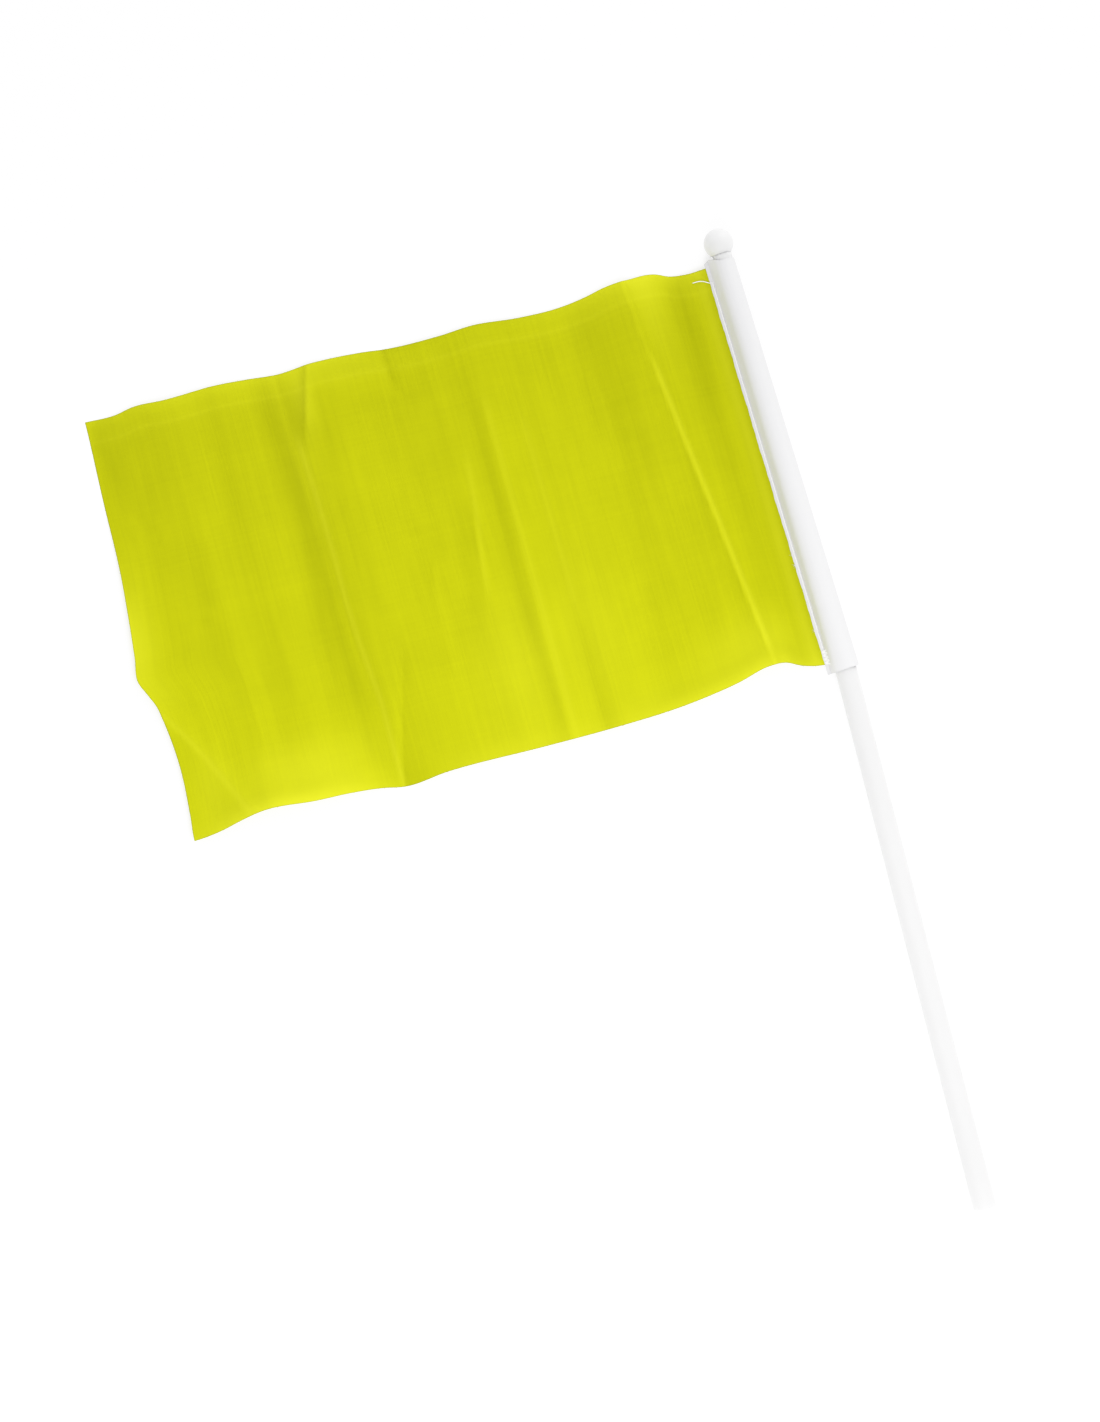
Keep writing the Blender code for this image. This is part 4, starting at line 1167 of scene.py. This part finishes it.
class FLAG_OT_panel(bpy.types.Operator):
    """Yellow-green cloth in soft waves and pressed creases, with its hoist edge between the sleeve's lips"""

    bl_idname = "flag.panel"
    bl_label = "Cloth panel"

    def execute(self, context):
        cloth, seam, colours = context.scene.flag_cloth, context.scene.flag_seam, context.scene.flag_colours
        share, up = np.meshgrid(*(np.linspace(0, 1, count) for count in PANEL_GRID), indexing="ij")
        middle = panel_surface(cloth, seam, share, up)
        uv = np.stack([share * PANEL_CUT[0], up * PANEL_CUT[1]], axis=-1)
        points, faces, corner_uv = two_layers(middle, grid_normals(middle), cloth.thickness, uv)
        shading = grid_normals(middle * [1, 1, cloth.relief])
        edges = PANEL_CUT, colours.painted_light, MELTED_AND_SHADED_EDGE_COLOUR
        finish = cloth_finish("panel cloth", colours.panel, cloth.yarn_pitch, 3.0, 0.8, 0.65, edges)
        both = np.concatenate([shading, -shading])
        panel = piece(
            "cloth_panel",
            points,
            faces,
            finish,
            "flag",
            ["flag_panel"],
            "panel_cloth",
            uv=corner_uv,
            normals=both,
        )
        # Painted light: how much of the brighter yellow-green each point gets, stored as a point attribute.
        painted_light = np.tile(paleness(cloth, share, up).ravel(), 2)
        panel.data.attributes.new("paleness", "FLOAT", "POINT").data.foreach_set("value", painted_light)
        self.fray(cloth, seam, finish)
        return {"FINISHED"}

    def fray(self, cloth, seam, finish):
        """Short fibres along the three cut edges, each pointing out of the cloth."""
        rng = np.random.default_rng(21)
        count = PANEL_FIBRES
        at = np.sort(rng.uniform(0.01, 0.995, count))
        which = rng.integers(0, 3, count)
        free = which == 0
        share = np.where(free, 1.0, at)
        up = np.choose(which, [at, np.zeros(count), np.ones(count)])
        roots = panel_surface(cloth, seam, share, up)
        inner = panel_surface(cloth, seam, share - free * 0.01, np.where(free, up, np.clip(up, 0.01, 0.99)))
        out = roots - inner
        out /= np.linalg.norm(out, axis=1, keepdims=True)
        length = cloth.fray_length * rng.uniform(0.35, 1.0, count)
        ways = out * length[:, None] + rng.normal(0, 0.3, (count, 3)) * length[:, None] * [1, 1, 0.3]
        fibres("panel_fray", roots - out * 0.0001, ways, finish, "panel_cloth", 0.00006, 22)


# ---- stitches

SEAM_TOP_BELOW_SLEEVE = 0.0077
TACK_FROM, TACK_TO = 0.0022, 0.0092
TACK_LEGS = 22
# The loose end's length, how far its tip lies towards the ball, its arch in plan and its lift at mid-length.
TAIL_LENGTH, TAIL_DRIFT, TAIL_ARCH, TAIL_LIFT = 0.0080, 0.0025, 0.0009, 0.0005


def stitch_row(seam, cloth, face):
    """Route of the sewing thread along one lip: an arch for each stitch, which dips into the cloth between
    two stitches. Its height is a power of half a sine wave, and every arch strays a little sideways."""
    low = TACK_TO + 0.001
    high = UPPER_LENGTH - SLEEVE_TOP_BELOW_END - SEAM_TOP_BELOW_SLEEVE
    count = round((high - low) / seam.stitch_length)
    at = np.linspace(0, count, count * 12 + 1)
    arch = np.abs(np.sin(at * math.pi)) ** 0.6
    stray = 0.00005 * np.sin(np.floor(at) * 2.4) * arch
    above_lip = cloth.thickness / 2 + seam.thread_radius * (1.5 * arch - 0.9)
    level = lips_up(seam) + face * (lip_offset(cloth) + above_lip)
    return put(UPPER, seam_right(seam) + stray, level, low + (high - low) * at / count)


def loose_tail(cloth, seam, start):
    """The needle thread's loose end: over the lip's edge, then along the cloth in a shallow arch."""
    steps = np.linspace(0, 1, 26)[1:]
    reach = seam.lip_beyond + TAIL_LENGTH * steps
    drift = TAIL_DRIFT * steps + TAIL_ARCH * np.sin(steps * math.pi)
    share = (TUCKED_IN + reach) / cloth.fly
    up = (start + drift - ABOVE_SOCKET) / cloth.hoist
    on_cloth = panel_surface(cloth, seam, share, up)
    lift = cloth.thickness / 2 + seam.thread_radius * 1.2 + TAIL_LIFT * np.sin(steps * math.pi) ** 2
    beyond = smoothstep((reach - seam.lip_beyond - 0.0001) / 0.0006)
    lip_top = lips_up(seam) + lip_offset(cloth) + cloth.thickness / 2 + seam.thread_radius
    over_lip = put(UPPER, seam_right(seam) - reach, lip_top, start + drift)
    level = on_cloth + UPPER.up * lift[:, None]
    return over_lip * (1 - beyond[:, None]) + level * beyond[:, None]


def tack_route(cloth, seam):
    """Zigzag of close stitches over the lip and the slope beside it, as a triangle wave along the seam that
    runs up, back down and up again, so that its threads cross."""
    at = np.linspace(0, 3, TACK_LEGS * 3 * 6 + 1)
    there = np.abs((at + 1) % 2 - 1)
    along = TACK_FROM + (TACK_TO - TACK_FROM) * there
    wave = np.abs((at * TACK_LEGS / 3 * 1.07) % 2 - 1)
    right = seam_right(seam) - 0.0008 + 0.0027 * wave
    flat = lips_up(seam) + lip_offset(cloth) + cloth.thickness / 2
    fold_at = seam_right(seam) + LIP_INSIDE_SEAM
    slope_right, slope_up, _ = sleeve_middle(cloth, seam, 2, 72)
    rise = (slope_up[0, -12] - slope_up[0, -8]) / (slope_right[0, -12] - slope_right[0, -8])
    on_slope = np.maximum(right - fold_at, 0)
    right = right - on_slope * 0.62
    level = flat + np.maximum(right - fold_at, 0) * rise + seam.thread_radius * (0.6 + 0.5 * np.sin(at * 9))
    return put(UPPER, right, level, along)


class FLAG_OT_stitches(bpy.types.Operator):
    """The seam's needle thread with its loose end, the bobbin thread, and the tack at the seam's foot"""

    bl_idname = "flag.stitches"
    bl_label = "Stitches"

    def execute(self, context):
        cloth, seam, colours = context.scene.flag_cloth, context.scene.flag_seam, context.scene.flag_colours
        finish = thread_finish("sewing thread", colours.thread)
        row = stitch_row(seam, cloth, 1)
        start = float((row[-1] - UPPER.origin) @ UPPER.along)
        route = np.concatenate([row, loose_tail(cloth, seam, start)])
        plied_thread("needle_stitches", route, seam, finish, "needle_thread")
        plied_thread("bobbin_stitches", stitch_row(seam, cloth, -1), seam, finish, "bobbin_thread")
        plied_thread("tack_stitches", tack_route(cloth, seam), seam, finish, "foot_tack")
        return {"FINISHED"}


# ---- the stage


TONE = (
    (0.0, 0.0), (0.35, 0.35), (0.65, 0.66), (0.80, 0.79),
    (0.92, 0.87), (1.05, 0.93), (1.20, 0.98), (1.35, 1.0),
)
TABLE_REACH, TABLE_DROP = 3.0, 0.0001
FILL_AT = (0.04, -0.22, 0.45)
FILL_SIZE = 0.4


class FLAG_OT_stage(bpy.types.Operator):
    """Pale table, soft lights and the camera above the flag"""

    bl_idname = "flag.stage"
    bl_label = "Stage"

    def execute(self, context):
        stage = context.scene.flag_stage
        self.table()
        self.lights(context.scene, stage)
        self.camera(context.scene, stage)
        self.tone(context.scene.view_settings)
        return {"FINISHED"}

    def tone(self, view):
        """Plain colours up to about 0.7, and above that a shoulder that reaches white at 1.35."""
        view.view_transform = "Standard"
        view.use_curve_mapping = True
        curves = view.curve_mapping
        curves.clip_max_x = 3.0
        curve = curves.curves[3]
        curve.points[0].location, curve.points[1].location = TONE[0], TONE[-1]
        for x, y in TONE[1:-1]:
            curve.points.new(x, y)
        curves.update()

    def table(self):
        mesh = bpy.data.meshes.new("table_top")
        ways = ((-1, -1), (1, -1), (1, 1), (-1, 1))
        corners = [(x * TABLE_REACH, y * TABLE_REACH, -TABLE_DROP) for x, y in ways]
        mesh.from_pydata(corners, [], [(0, 1, 2, 3)])
        finish = bpy.data.materials.new("pale table")
        finish.use_nodes = True
        shader = finish.node_tree.nodes["Principled BSDF"]
        set_numbers(
            shader,
            Base_Color=(0.75, 0.75, 0.75, 1),
            Roughness=0.9,
            Specular_IOR_Level=0.1,
            Emission_Color=(1, 1, 1, 1),
            Emission_Strength=0.38,
        )
        mesh.materials.append(finish)
        table = bpy.data.objects.new("table_top", mesh)
        bpy.context.scene.collection.objects.link(table)

    def lights(self, scene, stage):
        world = bpy.data.worlds.new("room")
        world.use_nodes = True
        set_numbers(world.node_tree.nodes["Background"], Color=(1, 1, 1, 1), Strength=stage.room)
        scene.world = world
        key = bpy.data.lights.new("key_light", "SUN")
        key.energy, key.angle = stage.key_strength, stage.key_spread
        turn = Matrix.Rotation(stage.key_azimuth, 3, "Z") @ Matrix.Rotation(-stage.key_elevation, 3, "Y")
        towards = turn @ Vector((1, 0, 0))
        self.aim(scene, key, towards, Vector((0, 0, 0)))
        fill = bpy.data.lights.new("fill_light", "AREA")
        fill.energy, fill.size = stage.fill_power, FILL_SIZE
        self.aim(scene, fill, Vector(FILL_AT), Vector((*FILL_AT[:2], 0)))

    def aim(self, scene, light, at, target):
        lamp = bpy.data.objects.new(light.name, light)
        lamp.location = at
        lamp.rotation_euler = (at - target).to_track_quat("Z", "Y").to_euler()
        lamp.visible_camera = False
        scene.collection.objects.link(lamp)

    def camera(self, scene, stage):
        lens = bpy.data.cameras.new("camera")
        lens.lens = stage.lens
        eye = bpy.data.objects.new("camera", lens)
        at = (LOWER.origin[0] + stage.camera_right, LOWER.origin[1] + stage.camera_along, stage.camera_height)
        eye.matrix_world = Matrix.Translation(at) @ Matrix.Rotation(stage.camera_turn, 4, "Z")
        scene.collection.objects.link(eye)
        scene.camera = eye


# ---- the add-on

GROUPS = (
    ("flag_pole", FLAG_PG_pole),
    ("flag_cloth", FLAG_PG_cloth),
    ("flag_seam", FLAG_PG_seam),
    ("flag_colours", FLAG_PG_colours),
    ("flag_stage", FLAG_PG_stage),
)
OPERATORS = (
    FLAG_OT_stage,
    FLAG_OT_handle,
    FLAG_OT_upper,
    FLAG_OT_ball,
    FLAG_OT_sleeve,
    FLAG_OT_panel,
    FLAG_OT_stitches,
)


class FLAG_PT_sidebar(bpy.types.Panel):
    """Lists the flag's sizes, colours and operators"""

    bl_idname = "FLAG_PT_sidebar"
    bl_label = "Hand-waving flag"
    bl_space_type = "VIEW_3D"
    bl_region_type = "UI"
    bl_category = "Flag"

    def draw(self, context):
        for operator in OPERATORS:
            self.layout.operator(operator.bl_idname)
        for name, group in GROUPS:
            box = self.layout.box()
            for value in group.__annotations__:
                box.prop(getattr(context.scene, name), value)


def register():
    for name, group in GROUPS:
        bpy.utils.register_class(group)
        setattr(bpy.types.Scene, name, PointerProperty(type=group))
    for kind in (*OPERATORS, FLAG_PT_sidebar):
        bpy.utils.register_class(kind)


def unregister():
    for kind in (FLAG_PT_sidebar, *reversed(OPERATORS)):
        bpy.utils.unregister_class(kind)
    for name, group in reversed(GROUPS):
        delattr(bpy.types.Scene, name)
        bpy.utils.unregister_class(group)


def main():
    register()
    bpy.ops.flag.stage()
    bpy.ops.flag.handle()
    bpy.ops.flag.upper()
    bpy.ops.flag.ball()
    bpy.ops.flag.sleeve()
    bpy.ops.flag.panel()
    bpy.ops.flag.stitches()


if __name__ == "__main__":
    main()
